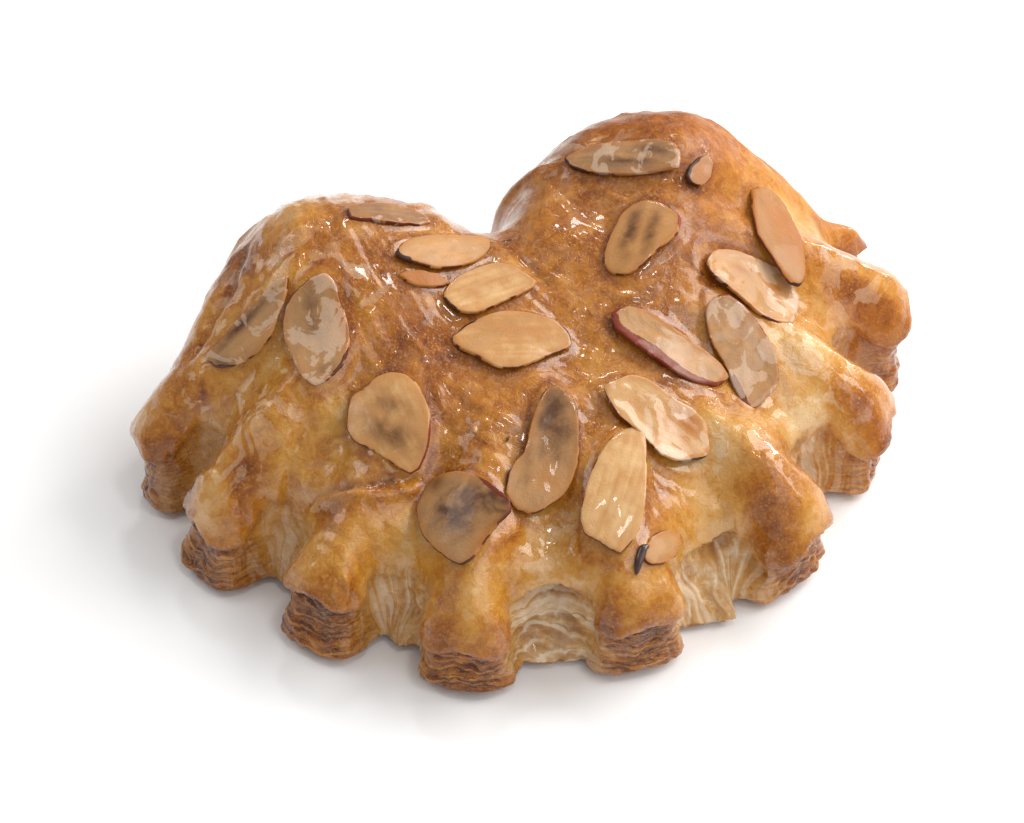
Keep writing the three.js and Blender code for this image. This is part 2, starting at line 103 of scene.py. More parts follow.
class Noise:
    """Random fields that are smooth in space, from a shuffled lattice of slopes."""

    def __init__(self, seed: int) -> None:
        """Shuffles the lattice from a seed."""
        rng = np.random.default_rng(seed)
        self.order = rng.permutation(256)
        slopes = rng.normal(size=(256, 3))
        self.slopes = slopes / np.linalg.norm(slopes, axis=1, keepdims=True)
        self.seats = rng.random((256, 3))

    def corner(self, cell: Array) -> Array:
        """Lattice number, 0 to 255, of each whole-number cell of shape (n, 3)."""
        first = self.order[cell[:, 0] & 255]
        second = self.order[(first + cell[:, 1]) & 255]
        return self.order[(second + cell[:, 2]) & 255]

    def wave(self, points: Array, size: float | Vector) -> Array:
        """Gradient noise: each corner's slope times the way to it, blended by 6t⁵ − 15t⁴ + 10t³.

        Args:
            points: places of shape (n, 3).
            size: width of one lattice cell, or its width along each axis.

        Returns:
            Values of about −1 to 1, of shape (n,).
        """
        place = points / np.asarray(size, float)
        cell = np.floor(place).astype(int)
        way = place - cell
        blend = way**3 * (way * (way * 6.0 - 15.0) + 10.0)
        total = np.zeros(len(points))
        for step in np.ndindex(2, 2, 2):
            offset = np.array(step)
            slope = self.slopes[self.corner(cell + offset)]
            weight = np.prod(np.where(offset == 1, blend, 1.0 - blend), axis=1)
            total += weight * np.sum(slope * (way - offset), axis=1)
        return total * 1.6

    def cloud(self, points: Array, size: float | Vector, octaves: int) -> Array:
        """Sum of waves, each half as wide and half as high as the last: about −1 to 1 at each point."""
        total = np.zeros(len(points))
        for k in range(octaves):
            total += self.wave(points + 17.3 * k, np.asarray(size, float) / 2**k) / 2**k
        return total / (2.0 - 0.5 ** (octaves - 1))

    def ridges(self, points: Array, size: float | Vector, octaves: int) -> Array:
        """Sharp crests, one minus the size of a wave, summed over octaves: about 0 to 1 at each point."""
        total = np.zeros(len(points))
        for k in range(octaves):
            total += (1.0 - np.abs(self.wave(points - 9.1 * k, np.asarray(size, float) / 2**k))) / 2**k
        return total / (2.0 - 0.5 ** (octaves - 1))

    def cells(self, points: Array, size: float | Vector) -> tuple[Array, Array]:
        """Distances to the nearest and second nearest seat, one seat being thrown into each lattice cell.

        Args:
            points: places of shape (n, 3).
            size: width of one lattice cell, or its width along each axis.

        Returns:
            Both distances, in cells, each of shape (n,).
        """
        place = points / np.asarray(size, float)
        cell = np.floor(place).astype(int)
        near = np.full(len(points), 9.0)
        second = np.full(len(points), 9.0)
        for step in np.ndindex(3, 3, 3):
            other = cell + np.array(step) - 1
            seat = other + self.seats[self.corner(other)]
            far = np.linalg.norm(place - seat, axis=1)
            second = np.minimum(second, np.maximum(near, far))
            near = np.minimum(near, far)
        return near, second


@dataclass(frozen=True)
class Toe:
    """One toe: direction, length from the hub, half width, height of its end and lean of its foot."""

    turn: float
    reach: float
    half: float
    rise: float
    lean: float


@dataclass(frozen=True)
class Cut:
    """One cut between two toes: direction, distance of its lip from the hub, lean of its foot, and how
    much its lip stands out as an arch over a hollow and how pale its torn crumb is, both from 0 to 1."""

    turn: float
    reach: float
    lean: float
    arch: float
    pale: float


@dataclass(frozen=True)
class Side:
    """The side of the dough under a stretch of its edge.

    A rounded shoulder of that width and drop, then a wall with a hollow, whose foot leans out, is held
    lift above the ground and turns under by heel. Crumb is how open the dough is torn there, from 0 to 1,
    and crust how far its cut end is baked into brown layers.
    """

    shoulder: float
    drop: float
    lean: float
    hollow: float
    lift: float
    heel: float
    crumb: float
    crust: float


class Stretch(Enum):
    """Kinds of stretch that the edge of the dough is made of."""

    CUT = Side(5.0, 4.4, 4.5, 1.6, 1.0, 1.0, 1.0, 0.0)
    ARCH = Side(1.9, 1.3, 4.5, 4.0, 1.0, 1.0, 1.0, 0.0)
    INNER = Side(3.8, 3.8, 2.8, 1.3, 1.0, 1.0, 0.85, 0.08)
    FLANK = Side(4.4, 4.6, 0.5, 1.0, 1.2, 1.0, 0.3, 0.45)
    CORNER = Side(3.4, 3.2, -0.6, 0.8, 1.5, 1.2, 0.0, 0.9)
    TIP = Side(3.0, 2.8, -0.8, 0.8, 1.5, 1.2, 0.0, 1.0)
    WING = Side(5.5, 6.0, -0.5, 0.8, 1.0, 2.0, 0.0, 0.6)
    BACK = Side(14.0, 20.0, -2.5, 0.0, 0.4, 4.0, 0.0, 0.25)
    CLEFT = Side(8.0, 9.0, 0.0, 0.0, 0.4, 3.0, 0.0, 0.15)


@dataclass(frozen=True)
class Hump:
    """One of the two humps of the fold, or the dip beside the last toe, which has a height below 0: an
    oval bell, exp(−(a² + b²)^power) of its own two axes."""

    at: Place
    radii: Place
    turn: float
    height: float
    power: float

    def reach(self, x: Array, y: Array) -> tuple[Array, Array]:
        """Place in the hump's own axes, in units of its radii."""
        a, b = turned(x, y, self.at, self.turn)
        return a / self.radii[0], b / self.radii[1]


@dataclass(frozen=True)
class Spot:
    """An oval patch on the dough, with a soft edge: place, radii, direction and strength."""

    at: Place
    radii: Place
    turn: float
    amount: float


def spots(*rows: tuple[float, ...]) -> tuple[Spot, ...]:
    """Patches from rows of x, y, the two radii, direction and strength."""
    return tuple(Spot((x, y), (along, across), turn, amount) for x, y, along, across, turn, amount in rows)


@dataclass(frozen=True)
class Fold:
    """A line on the top where one layer of dough ends: a groove, with a raised edge on its left side."""

    path: tuple[Place, ...]
    depth: float
    width: float
    step: float


@dataclass(frozen=True)
class Pocket:
    """A hollow in a torn cut: which cut, distance along the edge, share down the wall, radii and depth."""

    cut: int
    along: float
    down: float
    radii: Place
    depth: float


@dataclass
class Fan:
    """The plan and the heights of the dough, by the same rules as its plain solid."""

    toes: tuple[Toe, ...] = (
        Toe(171.2, 68.0, 4.9, 12.0, -1.4),
        Toe(188.6, 65.0, 6.6, 12.6, 0.8),
        Toe(211.2, 63.4, 6.9, 14.0, 1.0),
        Toe(235.0, 64.4, 7.2, 12.0, -0.8),
        Toe(262.0, 62.8, 7.2, 12.8, -1.8),
        Toe(293.2, 62.0, 7.8, 14.0, -2.4),
        Toe(322.6, 62.8, 7.4, 13.0, -2.2),
        Toe(345.6, 66.6, 7.2, 17.5, -1.3),
        Toe(365.5, 69.4, 4.6, 10.5, -0.8),
    )
    cuts: tuple[Cut, ...] = (
        Cut(179.2, 55.0, 2.8, 0.0, 0.25),
        Cut(199.8, 52.6, 4.7, 0.05, 0.45),
        Cut(223.0, 52.2, 8.4, 0.15, 0.7),
        Cut(248.2, 53.0, 4.8, 0.95, 1.0),
        Cut(282.5, 51.4, 9.0, 0.3, 0.85),
        Cut(309.0, 49.5, 5.4, 0.35, 0.7),
        Cut(334.0, 52.0, 4.5, 0.6, 0.45),
        Cut(356.6, 58.0, 3.0, 0.3, 0.25),
    )
    left: tuple[tuple[float, float, Stretch], ...] = (
        (-4.8, 22.3, Stretch.BACK),
        (-15.4, 30.8, Stretch.BACK),
        (-29.5, 35.5, Stretch.BACK),
        (-43.2, 30.6, Stretch.BACK),
        (-50.2, 20.9, Stretch.WING),
        (-59.8, 16.2, Stretch.WING),
    )
    right: tuple[tuple[float, float, Stretch], ...] = (
        (57.9, 13.9, Stretch.WING),
        (52.5, 21.9, Stretch.WING),
        (43.5, 27.0, Stretch.BACK),
        (29.9, 32.0, Stretch.BACK),
        (14.3, 28.8, Stretch.BACK),
        (4.4, 22.6, Stretch.BACK),
    )
    cleft: Place = (0.0, 13.5)
    humps: tuple[Hump, ...] = (
        Hump((-34.6, 16.1), (26.4, 24.7), 9.5, 16.5, 1.09),
        Hump((33.7, 12.8), (23.5, 25.0), -19.0, 15.3, 1.1),
        Hump((63.0, 11.6), (5.5, 11.0), -30.0, -6.4, 1.0),
    )
    lumps: tuple[tuple[float, float, float, float, float, float], ...] = (
        (0.55, 1 / 5.3, 0.0, 1.1, 1 / 6.1, 0.4),
        (0.45, 1 / 8.7, 1.7 / 8.7, 2.0, 0.0, np.pi / 2),
        (0.35, 1.6 / 6.3, -1 / 6.3, 0.7, 0.0, np.pi / 2),
    )
    dome: float = 35.0
    dome_power: float = 2.2
    front_run: Place = (38.0, -2.0)
    ridge: float = 2.7
    ridge_run: Place = (23.0, 51.0)
    wide_toes: float = 26.0
    knuckle_in: float = 9.0
    knuckle_width: float = 6.5
    gape_run: Place = (-22.5, 28.5)
    gape_shift: float = 1.4
    gape_depth: float = 2.4
    gape_width: Place = (1.7, 6.7)
    gape_sides: Place = (1.18, 0.82)
    wide_cut: float = 11.0
    root_out: float = 2.5
    root_half: float = 0.9
    flank_out: float = 1.0
    tip_flank: float = 3.2
    corner_in: float = 0.6
    corner_half: float = 0.72
    shoulder_room: float = 0.75
    lean_room: float = 0.7
    crumb_passes: int = 60
    narrow_passes: int = 90
    curve_steps: int = 16
    plain_points: int = 240
    table_points: int = 2400

    def __post_init__(self) -> None:
        """Works out the tables that the heights and the edge are read from."""
        self.toe_turns = np.array([toe.turn for toe in self.toes])
        self.toe_reaches = np.array([toe.reach for toe in self.toes])
        self.toe_rises = np.array([toe.rise for toe in self.toes])
        self.cut_turns = np.array([cut.turn for cut in self.cuts])
        self.cut_spreads = np.minimum(np.diff(self.toe_turns) / self.wide_toes, 1.0)
        self.marks = np.sort(np.concatenate([self.toe_turns, self.cut_turns]))
        self.trace()

    def polar(self, x: Array, y: Array) -> tuple[Array, Array]:
        """Distance from the hub, and direction in degrees from 95 to 455, of places in plan."""
        turn = np.degrees(np.arctan2(y, x))
        return np.hypot(x, y), np.where(turn < 95.0, turn + 360.0, turn)

    def on_toe(self, turn: Array) -> Array:
        """1 along the middle of a toe, −1 along a cut, as a cosine between."""
        return np.cos(FULL_TURN * np.interp(turn, self.marks, np.arange(len(self.marks)) / 2.0))

    def height(self, x: Array, y: Array) -> Array:
        """Height of the top: a dome, ridges along the toes, knuckles, humps, the gape of the cleft and lumps.

        Args:
            x: places along X.
            y: places along Y.

        Returns:
            Heights over the ground.
        """
        far, turn = self.polar(x, y)
        reach = np.interp(turn, self.toe_turns, self.toe_reaches)
        rise = np.interp(turn, self.toe_turns, self.toe_rises)
        toe = self.on_toe(turn)
        front = ease(*self.front_run, y)
        z = rise + (self.dome - rise) * (1.0 - np.minimum(far / reach, 1.0) ** self.dome_power)
        spread = np.interp(turn, self.cut_turns, self.cut_spreads)
        z += self.ridge * spread * ease(*self.ridge_run, far) * toe * front
        z += bell(reach - self.knuckle_in - far, self.knuckle_width) * np.maximum(toe, 0.0) * front
        for hump in self.humps:
            a, b = hump.reach(x, y)
            z += hump.height * np.exp(-((a * a + b * b) ** hump.power))
        gape = ease(*self.gape_run, y)
        off = x + self.gape_shift * gape
        width = self.gape_width[0] + self.gape_width[1] * gape
        z -= self.gape_depth * gape * bell(off, width * np.where(off < 0, *self.gape_sides))
        for lift, along_x, along_y, start, across_y, second in self.lumps:
            z += lift * np.sin(x * along_x + y * along_y + start) * np.sin(y * across_y + second)
        return z

    def height_at(self, x: float, y: float) -> float:
        """Height of the top over one place."""
        return float(self.height(np.array([x]), np.array([y]))[0])

    def openness(self, k: int) -> float:
        """How open a cut is, from 0.1 for a slit to 1, by the gap left between its two toes."""
        spread = np.radians(self.toes[k + 1].turn - self.toes[k].turn)
        gap = 2.0 * self.toes[k].reach * np.sin(spread / 2.0) - self.toes[k].half - self.toes[k + 1].half
        return float(np.clip(gap / self.wide_cut, 0.1, 1.0))

    def stations(self) -> Array:
        """Every station of the edge, from the cleft over the left hump, round the toes and back.

        Returns:
            One row a station, with the values that COLUMNS names.
        """
        rows: list[dict[str, float]] = []
        self.cut_stations: list[int] = []
        self.tip_stations: list[int] = []

        def add(reach: float, turn: float, across: float, kind: Stretch, gape: float,
                lean: float | None) -> None:
            """Adds a station at a distance and direction from the hub, moved sideways by across."""
            angle, side = np.radians(turn), kind.value
            x = np.cos(angle) * reach - np.sin(angle) * across
            y = np.sin(angle) * reach + np.cos(angle) * across
            foot = (side.lean if lean is None else lean) * gape
            sizes = (side.shoulder, side.drop, foot, side.hollow * gape, side.lift, side.heel)
            rows.append(dict(zip(COLUMNS, (x, y, *sizes, side.crumb, side.crust))))

        def spot(x: float, y: float, kind: Stretch) -> None:
            """Adds a station at a place in plan."""
            add(np.hypot(x, y), np.degrees(np.arctan2(y, x)), 0.0, kind, 1.0, None)

        def flank(k: int, sign: int) -> list[tuple[float, float, Stretch, float, float | None]]:
            """One side of a toe, from the cut beside it out to its corner."""
            toe, beside = self.toes[k], k - 1 if sign < 0 else k
            row: list[tuple[float, float, Stretch, float, float | None]] = []
            if 0 <= beside < len(self.cuts):
                gape, root = self.openness(beside), self.cuts[beside].reach
                inner = sign * toe.half * self.root_half
                row.append((root + self.root_out, inner, Stretch.INNER, gape, None))
                middle = (root + toe.reach) / 2.0 + self.flank_out
                row.append((middle, sign * toe.half, Stretch.FLANK, gape, None))
            corner = sign * toe.half * self.corner_half
            row.append((toe.reach - self.tip_flank, sign * toe.half, Stretch.FLANK, 1.0, None))
            row.append((toe.reach - self.corner_in, corner, Stretch.CORNER, 1.0, toe.lean))
            return row

        spot(*self.cleft, Stretch.CLEFT)
        for x, y, kind in self.left:
            spot(x, y, kind)
        for k, toe in enumerate(self.toes):
            for reach, across, kind, gape, lean in flank(k, -1):
                add(reach, toe.turn, across, kind, gape, lean)
                if k and kind is not Stretch.CORNER:
                    rows[-1]["crumb"] *= self.cuts[k - 1].pale
            self.tip_stations.append(len(rows))
            add(toe.reach, toe.turn, 0.0, Stretch.TIP, 1.0, toe.lean)
            for reach, across, kind, gape, lean in reversed(flank(k, 1)):
                add(reach, toe.turn, across, kind, gape, lean)
            if k < len(self.cuts):
                self.cut_stations.append(len(rows))
                cut, gape = self.cuts[k], self.openness(k)
                add(cut.reach, cut.turn, 0.0, Stretch.CUT, 1.0, cut.lean)
                plain, arched = Stretch.CUT.value, Stretch.ARCH.value
                rows[-1].update(
                    shoulder=plain.shoulder + (arched.shoulder - plain.shoulder) * cut.arch,
                    drop=plain.drop + (arched.drop - plain.drop) * cut.arch,
                    lean=cut.lean * gape,
                    hollow=(plain.hollow + (arched.hollow - plain.hollow) * cut.arch) * gape,
                )
                for row in rows[-3:]:
                    row["crumb"] *= cut.pale
        for x, y, kind in self.right:
            spot(x, y, kind)
        return np.array([list(row.values()) for row in rows])

    def trace(self) -> None:
        """Draws the edge as a closed curve through the stations: a cubic on each stretch.

        The cubic's slopes are the centripetal ones, which weigh each neighbouring step by the square
        root of its length, and the sizes of the side ease from station to station.
        """
        rows = self.stations()
        before, after, beyond = np.roll(rows, 1, 0), np.roll(rows, -1, 0), np.roll(rows, -2, 0)
        place = [row[:, None, :2] for row in (before, rows, after, beyond)]
        steps = [np.sqrt(np.linalg.norm(b - a, axis=2, keepdims=True)) for a, b in zip(place, place[1:])]
        s0, s1, s2 = steps
        p0, p1, p2, p3 = place
        start = ((p1 - p0) / s0 - (p2 - p0) / (s0 + s1) + (p2 - p1) / s1) * s1
        end = ((p2 - p1) / s1 - (p3 - p1) / (s1 + s2) + (p3 - p2) / s2) * s1
        t = (np.arange(self.curve_steps) / self.curve_steps)[None, :, None]
        curve = p1 + start * t + (3.0 * (p2 - p1) - 2.0 * start - end) * t**2
        curve = curve + (2.0 * (p1 - p2) + start + end) * t**3
        mix = ease(0.0, 1.0, t)
        sizes = rows[:, None, 2:] * (1.0 - mix) + after[:, None, 2:] * mix
        fine = np.concatenate([curve, sizes], axis=2).reshape(-1, rows.shape[1])
        fine = np.vstack([fine, fine[:1]])
        lengths = np.concatenate([[0.0], np.cumsum(np.linalg.norm(np.diff(fine[:, :2], axis=0), axis=1))])
        self.cut_arcs = lengths[np.array(self.cut_stations) * self.curve_steps]
        self.total = float(lengths[-1])
        self.table = self.inward(fine, lengths)

    def inward(self, fine: Array, lengths: Array) -> Values:
        """Table of the edge at even steps, with its direction into the dough.

        The direction is square to the chord between the points one step of the plain solid away. Where the
        edge turns sharply, the shoulder and the lean are kept within a share of the turn's radius.

        Args:
            fine: points of the edge with the sizes of its side.
            lengths: lengths along the edge at them.

        Returns:
            Arrays by name: x, y, the sizes, in_x, in_y and arc.
        """
        count = self.table_points
        arc = np.arange(count) / count * self.total
        table = {name: np.interp(arc, lengths, fine[:, k]) for k, name in enumerate(COLUMNS)}
        reach = self.total / self.plain_points
        chord = [
            np.interp((arc + reach) % self.total, lengths, fine[:, k])
            - np.interp((arc - reach) % self.total, lengths, fine[:, k])
            for k in (0, 1)
        ]
        size = np.hypot(*chord)
        table.update(in_x=-chord[1] / size, in_y=chord[0] / size)
        for _ in range(self.crumb_passes):
            table["crumb"] = (np.roll(table["crumb"], 2) + table["crumb"] + np.roll(table["crumb"], -2)) / 3.0
        angle = np.arctan2(table["in_y"], table["in_x"])
        swing = (np.roll(angle, -1) - np.roll(angle, 1) + np.pi) % FULL_TURN - np.pi
        bend = swing * count / (2.0 * self.total)
        rooms = {
            "shoulder": self.shoulder_room / np.maximum(bend, TINY),
            "lean": 1.0 + self.lean_room / np.maximum(-bend, TINY),
        }
        for name, room in rooms.items():
            narrow = np.minimum(table[name], room)
            for _ in range(self.narrow_passes):
                narrow = np.minimum(narrow, (np.roll(narrow, 1) + narrow + np.roll(narrow, -1)) / 3.0)
            if name == "shoulder":
                table["drop"] = table["drop"] * np.sqrt(narrow / table["shoulder"])
            table[name] = narrow
        table["arc"] = arc
        return table

    def edge(self, count: int) -> Values:
        """The edge at that many evenly spaced points, read from its table, by name."""
        arc = np.arange(count) / count * self.total
        return {name: np.interp(arc, self.table["arc"], values, period=self.total) if name != "arc" else arc
                for name, values in self.table.items()}


class Rows:
    """Rows of points round a closed solid, from its top pole to its bottom pole, each with its own count."""

    def __init__(self) -> None:
        """Starts without rows."""
        self.columns: dict[str, list[Array]] = {}
        self.counts: list[int] = []

    def add(self, **columns: Array | float) -> None:
        """Adds one row: its points' x, y and z, and whatever else is kept for them."""
        count = len(np.atleast_1d(columns["x"]))
        self.counts.append(count)
        for name, values in columns.items():
            self.columns.setdefault(name, []).append(np.broadcast_to(np.asarray(values, float), (count,)))

    def column(self, name: str) -> Array:
        """One named value of every point."""
        return np.concatenate(self.columns[name])

    def faces(self) -> Array:
        """Triangles between neighbouring rows, zipped in the order of their shares of the way round.

        The points of both rows are merged by share; each point of the lower row closes the triangle to
        the lower point before it, and each point of the upper row the one to the upper point before it.

        Returns:
            Corner numbers of shape (n, 3), turning outwards.
        """
        starts = np.concatenate([[0], np.cumsum(self.counts)])
        parts = []
        for k in range(len(self.counts) - 1):
            upper, lower = self.counts[k], self.counts[k + 1]
            i, j = np.arange(upper), np.arange(lower)
            over, under = starts[k], starts[k + 1]
            if upper == 1:
                parts.append(np.stack([np.full(lower, over), under + j, under + (j + 1) % lower], 1))
                continue
            if lower == 1:
                parts.append(np.stack([over + i, np.full(upper, under), over + (i + 1) % upper], 1))
                continue
            passed = np.searchsorted((i + 0.5) / upper, (j + 0.5) / lower, side="left")
            parts.append(np.stack([over + passed % upper, under + j, under + (j + 1) % lower], 1))
            closed = np.searchsorted((j + 0.5) / lower, (i + 0.5) / upper, side="right")
            parts.append(np.stack([over + i, under + closed % lower, over + (i + 1) % upper], 1))
        return np.concatenate(parts)


def normals(points: Array, faces: Array) -> Array:
    """Outward unit direction at each point: the sum of its triangles' cross products, made one long."""
    a, b, c = (points[faces[:, k]] for k in range(3))
    flat = np.cross(b - a, c - a)
    total = np.stack(
        [sum(np.bincount(faces[:, k], flat[:, axis], len(points)) for k in range(3)) for axis in range(3)], 1
    )
    return total / np.maximum(np.linalg.norm(total, axis=1, keepdims=True), 1e-12)


@dataclass
class Cap:
    """Even points that fill a closed loop in plan, with the triangles that join them to it.

    Points lie on a grid of equilateral triangles, kept a share of a step clear of the loop, and Blender's
    constrained triangulation joins them.
    """

    loop: Array
    step: float
    clear: float = 0.55
    batch: int = 4000

    def __post_init__(self) -> None:
        """Lays the grid, keeps what lies inside and triangulates it."""
        low, high = self.loop.min(0), self.loop.max(0)
        across = np.arange(low[0], high[0], self.step)
        along = np.arange(low[1], high[1], self.step * np.sqrt(0.75))
        x, y = np.meshgrid(across, along)
        x += (np.arange(len(along)) % 2)[:, None] * self.step / 2.0
        grid = np.stack([x.ravel(), y.ravel()], 1)
        far, nearest = self.nearest(grid)
        keep = (far > self.clear * self.step) & self.inside(grid)
        self.inner, self.far, self.beside = grid[keep], far[keep], nearest[keep]
        count = len(self.loop)
        edges = np.stack([np.arange(count), (np.arange(count) + 1) % count], 1)
        points = np.vstack([self.loop, self.inner])
        _, _, faces, origin, _, _ = delaunay_2d_cdt(points.tolist(), edges.tolist(), [], 1, 1e-7)
        self.triangles = np.array([item[0] if item else -1 for item in origin])[np.array(faces)]
        crossings = int(np.sum(self.triangles < 0))
        log.info("cap of %d points, %d triangles, %d crossings", len(points), len(faces), crossings)

    def nearest(self, grid: Array) -> tuple[Array, Array]:
        """Distance of each place to the loop, and the number of its nearest point."""
        parts = []
        for some in np.array_split(grid, len(grid) // self.batch + 1):
            square = ((some[:, None, :] - self.loop[None, :, :]) ** 2).sum(2)
            best = square.argmin(1)
            parts.append(np.stack([np.sqrt(square[np.arange(len(some)), best]), best], 1))
        both = np.vstack(parts)
        return both[:, 0], both[:, 1].astype(int)

    def inside(self, grid: Array) -> Array:
        """Whether each place lies inside the loop: a ray along X crosses it an odd number of times."""
        x0, y0 = self.loop.T
        x1, y1 = np.roll(self.loop, -1, 0).T
        rise = np.where(y1 == y0, 1e-9, y1 - y0)
        parts = []
        for some in np.array_split(grid, len(grid) // self.batch + 1):
            px, py = some[:, :1], some[:, 1:]
            crosses = ((y0 > py) != (y1 > py)) & (px < x0 + (py - y0) / rise * (x1 - x0))
            parts.append(crosses.sum(1) % 2 == 1)
        return np.concatenate(parts)


def make_piece(
    name: str, points: Array, faces: Array, material: bpy.types.Material,
    marks: Values | None = None,
) -> bpy.types.Object:
    """Writes a closed mesh in metres, with its place in its vertices, and lets it ride the one body.

    Args:
        name: the piece's name.
        points: places in millimetres from the hub, of shape (n, 3).
        faces: corner numbers of shape (m, 3).
        material: the finish.
        marks: values at the points, by the name of the attribute that the finish reads.

    Returns:
        The new object.
    """
    place = points + np.array([*HUB, 0.0])
    mesh = bpy.data.meshes.new(name)
    mesh.vertices.add(len(place))
    mesh.vertices.foreach_set("co", (place * MILLIMETRE).astype(np.float32).ravel())
    mesh.loops.add(faces.size)
    mesh.loops.foreach_set("vertex_index", faces.astype(np.int32).ravel())
    mesh.polygons.add(len(faces))
    mesh.polygons.foreach_set("loop_start", np.arange(0, faces.size, 3, dtype=np.int32))
    mesh.update(calc_edges=True)
    mesh.validate()
    mesh.shade_smooth()
    for mark, values in (marks or {}).items():
        flat = values.ndim == 1
        layer = mesh.attributes.new(mark, "FLOAT" if flat else "FLOAT_VECTOR", "POINT")
        layer.data.foreach_set("value" if flat else "vector", np.asarray(values, np.float32).ravel())
    mesh.materials.append(material)
    piece = bpy.data.objects.new(name, mesh)
    bpy.context.scene.collection.objects.link(piece)
    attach(piece, "root")
    log.info("%s: %d triangles", name, len(faces))
    return piece


class Tree:
    """Adds and joins the nodes of a material or of a node group."""

    def __init__(self, tree: bpy.types.NodeTree) -> None:
        """Works on one node tree."""
        self.tree = tree

    def feed(self, end: bpy.types.Node, inputs: dict[str | int, object]) -> None:
        """Joins outputs to a node's inputs, by name or number, or sets them to values."""
        for name, value in inputs.items():
            if isinstance(value, Socket):
                self.tree.links.new(value, end.inputs[name])
            else:
                end.inputs[name].default_value = value

    def node(self, kind: str, inputs: dict[str | int, object] | None = None,
             **settings: object) -> bpy.types.Node:
        """Adds a node.

        Args:
            kind: its type.
            inputs: for each input, by name or number, a value or the output that feeds it.
            settings: its own properties.

        Returns:
            The node.
        """
        made = self.tree.nodes.new(kind)
        for name, value in settings.items():
            setattr(made, name, value)
        self.feed(made, inputs or {})
        return made

    def math(self, operation: str, *values: object, clamp: bool = False) -> Socket:
        """Output of a Math node over outputs or numbers."""
        made = self.node("ShaderNodeMath", dict(enumerate(values)), operation=operation, use_clamp=clamp)
        return made.outputs[0]

    def plus(self, first: object, second: object, clamp: bool = False) -> Socket:
        """First plus second."""
        return self.math("ADD", first, second, clamp=clamp)

    def less(self, first: object, second: object) -> Socket:
        """First less second."""
        return self.math("SUBTRACT", first, second)

    def times(self, first: object, second: object) -> Socket:
        """First times second."""
        return self.math("MULTIPLY", first, second)

    def mark(self, name: str, output: str = "Fac") -> Socket:
        """Value, or Vector, of one of the mesh's own attributes."""
        made = self.node("ShaderNodeAttribute", attribute_name=name, attribute_type="GEOMETRY")
        return made.outputs[output]

    def place(self) -> Socket:
        """Object coordinates."""
        return self.node("ShaderNodeTexCoord").outputs["Object"]

    def noise(self, place: object, scale: float, detail: float, rough: float = 0.5,
              warp: float = 0.0) -> Socket:
        """Noise of about 0 to 1 at a place, of that many cells to the metre."""
        inputs = {"Vector": place, "Scale": scale, "Detail": detail, "Roughness": rough, "Distortion": warp}
        return self.node("ShaderNodeTexNoise", inputs).outputs["Fac"]

    def dots(self, place: object, scale: float) -> Socket:
        """Distance to the nearest of points thrown into that many cells to the metre."""
        made = self.node("ShaderNodeTexVoronoi", {"Vector": place, "Scale": scale}, feature="F1")
        return made.outputs["Distance"]

    def step(self, value: object, low: float, high: float, to_low: float = 0.0,
             to_high: float = 1.0) -> Socket:
        """Value eased from one range to another."""
        inputs = {"Value": value, "From Min": low, "From Max": high, "To Min": to_low, "To Max": to_high}
        return self.node("ShaderNodeMapRange", inputs, interpolation_type="SMOOTHSTEP").outputs["Result"]

    def ramp(self, value: object, stops: Stops) -> Socket:
        """Colour read from a row of stops, each a place from 0 to 1 and a colour from 0 to 255 a channel."""
        made = self.node("ShaderNodeValToRGB", {"Fac": value})
        row = made.color_ramp.elements
        while len(row) < len(stops):
            row.new(0.5)
        for element, (place, colour) in zip(row, stops):
            element.position = place
            element.color = linear(*colour)
        return made.outputs["Color"]

    def mix(self, share: object, first: object, second: object, blend: str = "MIX") -> Socket:
        """Colour mixed from two, by a share or a number."""
        made = self.node("ShaderNodeMix", data_type="RGBA", blend_type=blend)
        for name, value in (("Factor_Float", share), ("A_Color", first), ("B_Color", second)):
            number = next(k for k, item in enumerate(made.inputs) if item.identifier == name)
            self.feed(made, {number: value})
        return next(item for item in made.outputs if item.identifier == "Result_Color")

    def layered(self, share: object, base: object, colour: Paint,
                blend: str = "MIX") -> Socket:
        """A colour, from 0 to 255 a channel, laid over a base by a share."""
        return self.mix(share, base, linear(*colour), blend)


def blank(name: str) -> tuple[bpy.types.Material, Tree, bpy.types.Node]:
    """A new material, with the tree of its nodes and its shader."""
    made = bpy.data.materials.new(name)
    made.use_nodes = True
    return made, Tree(made.node_tree), made.node_tree.nodes["Principled BSDF"]


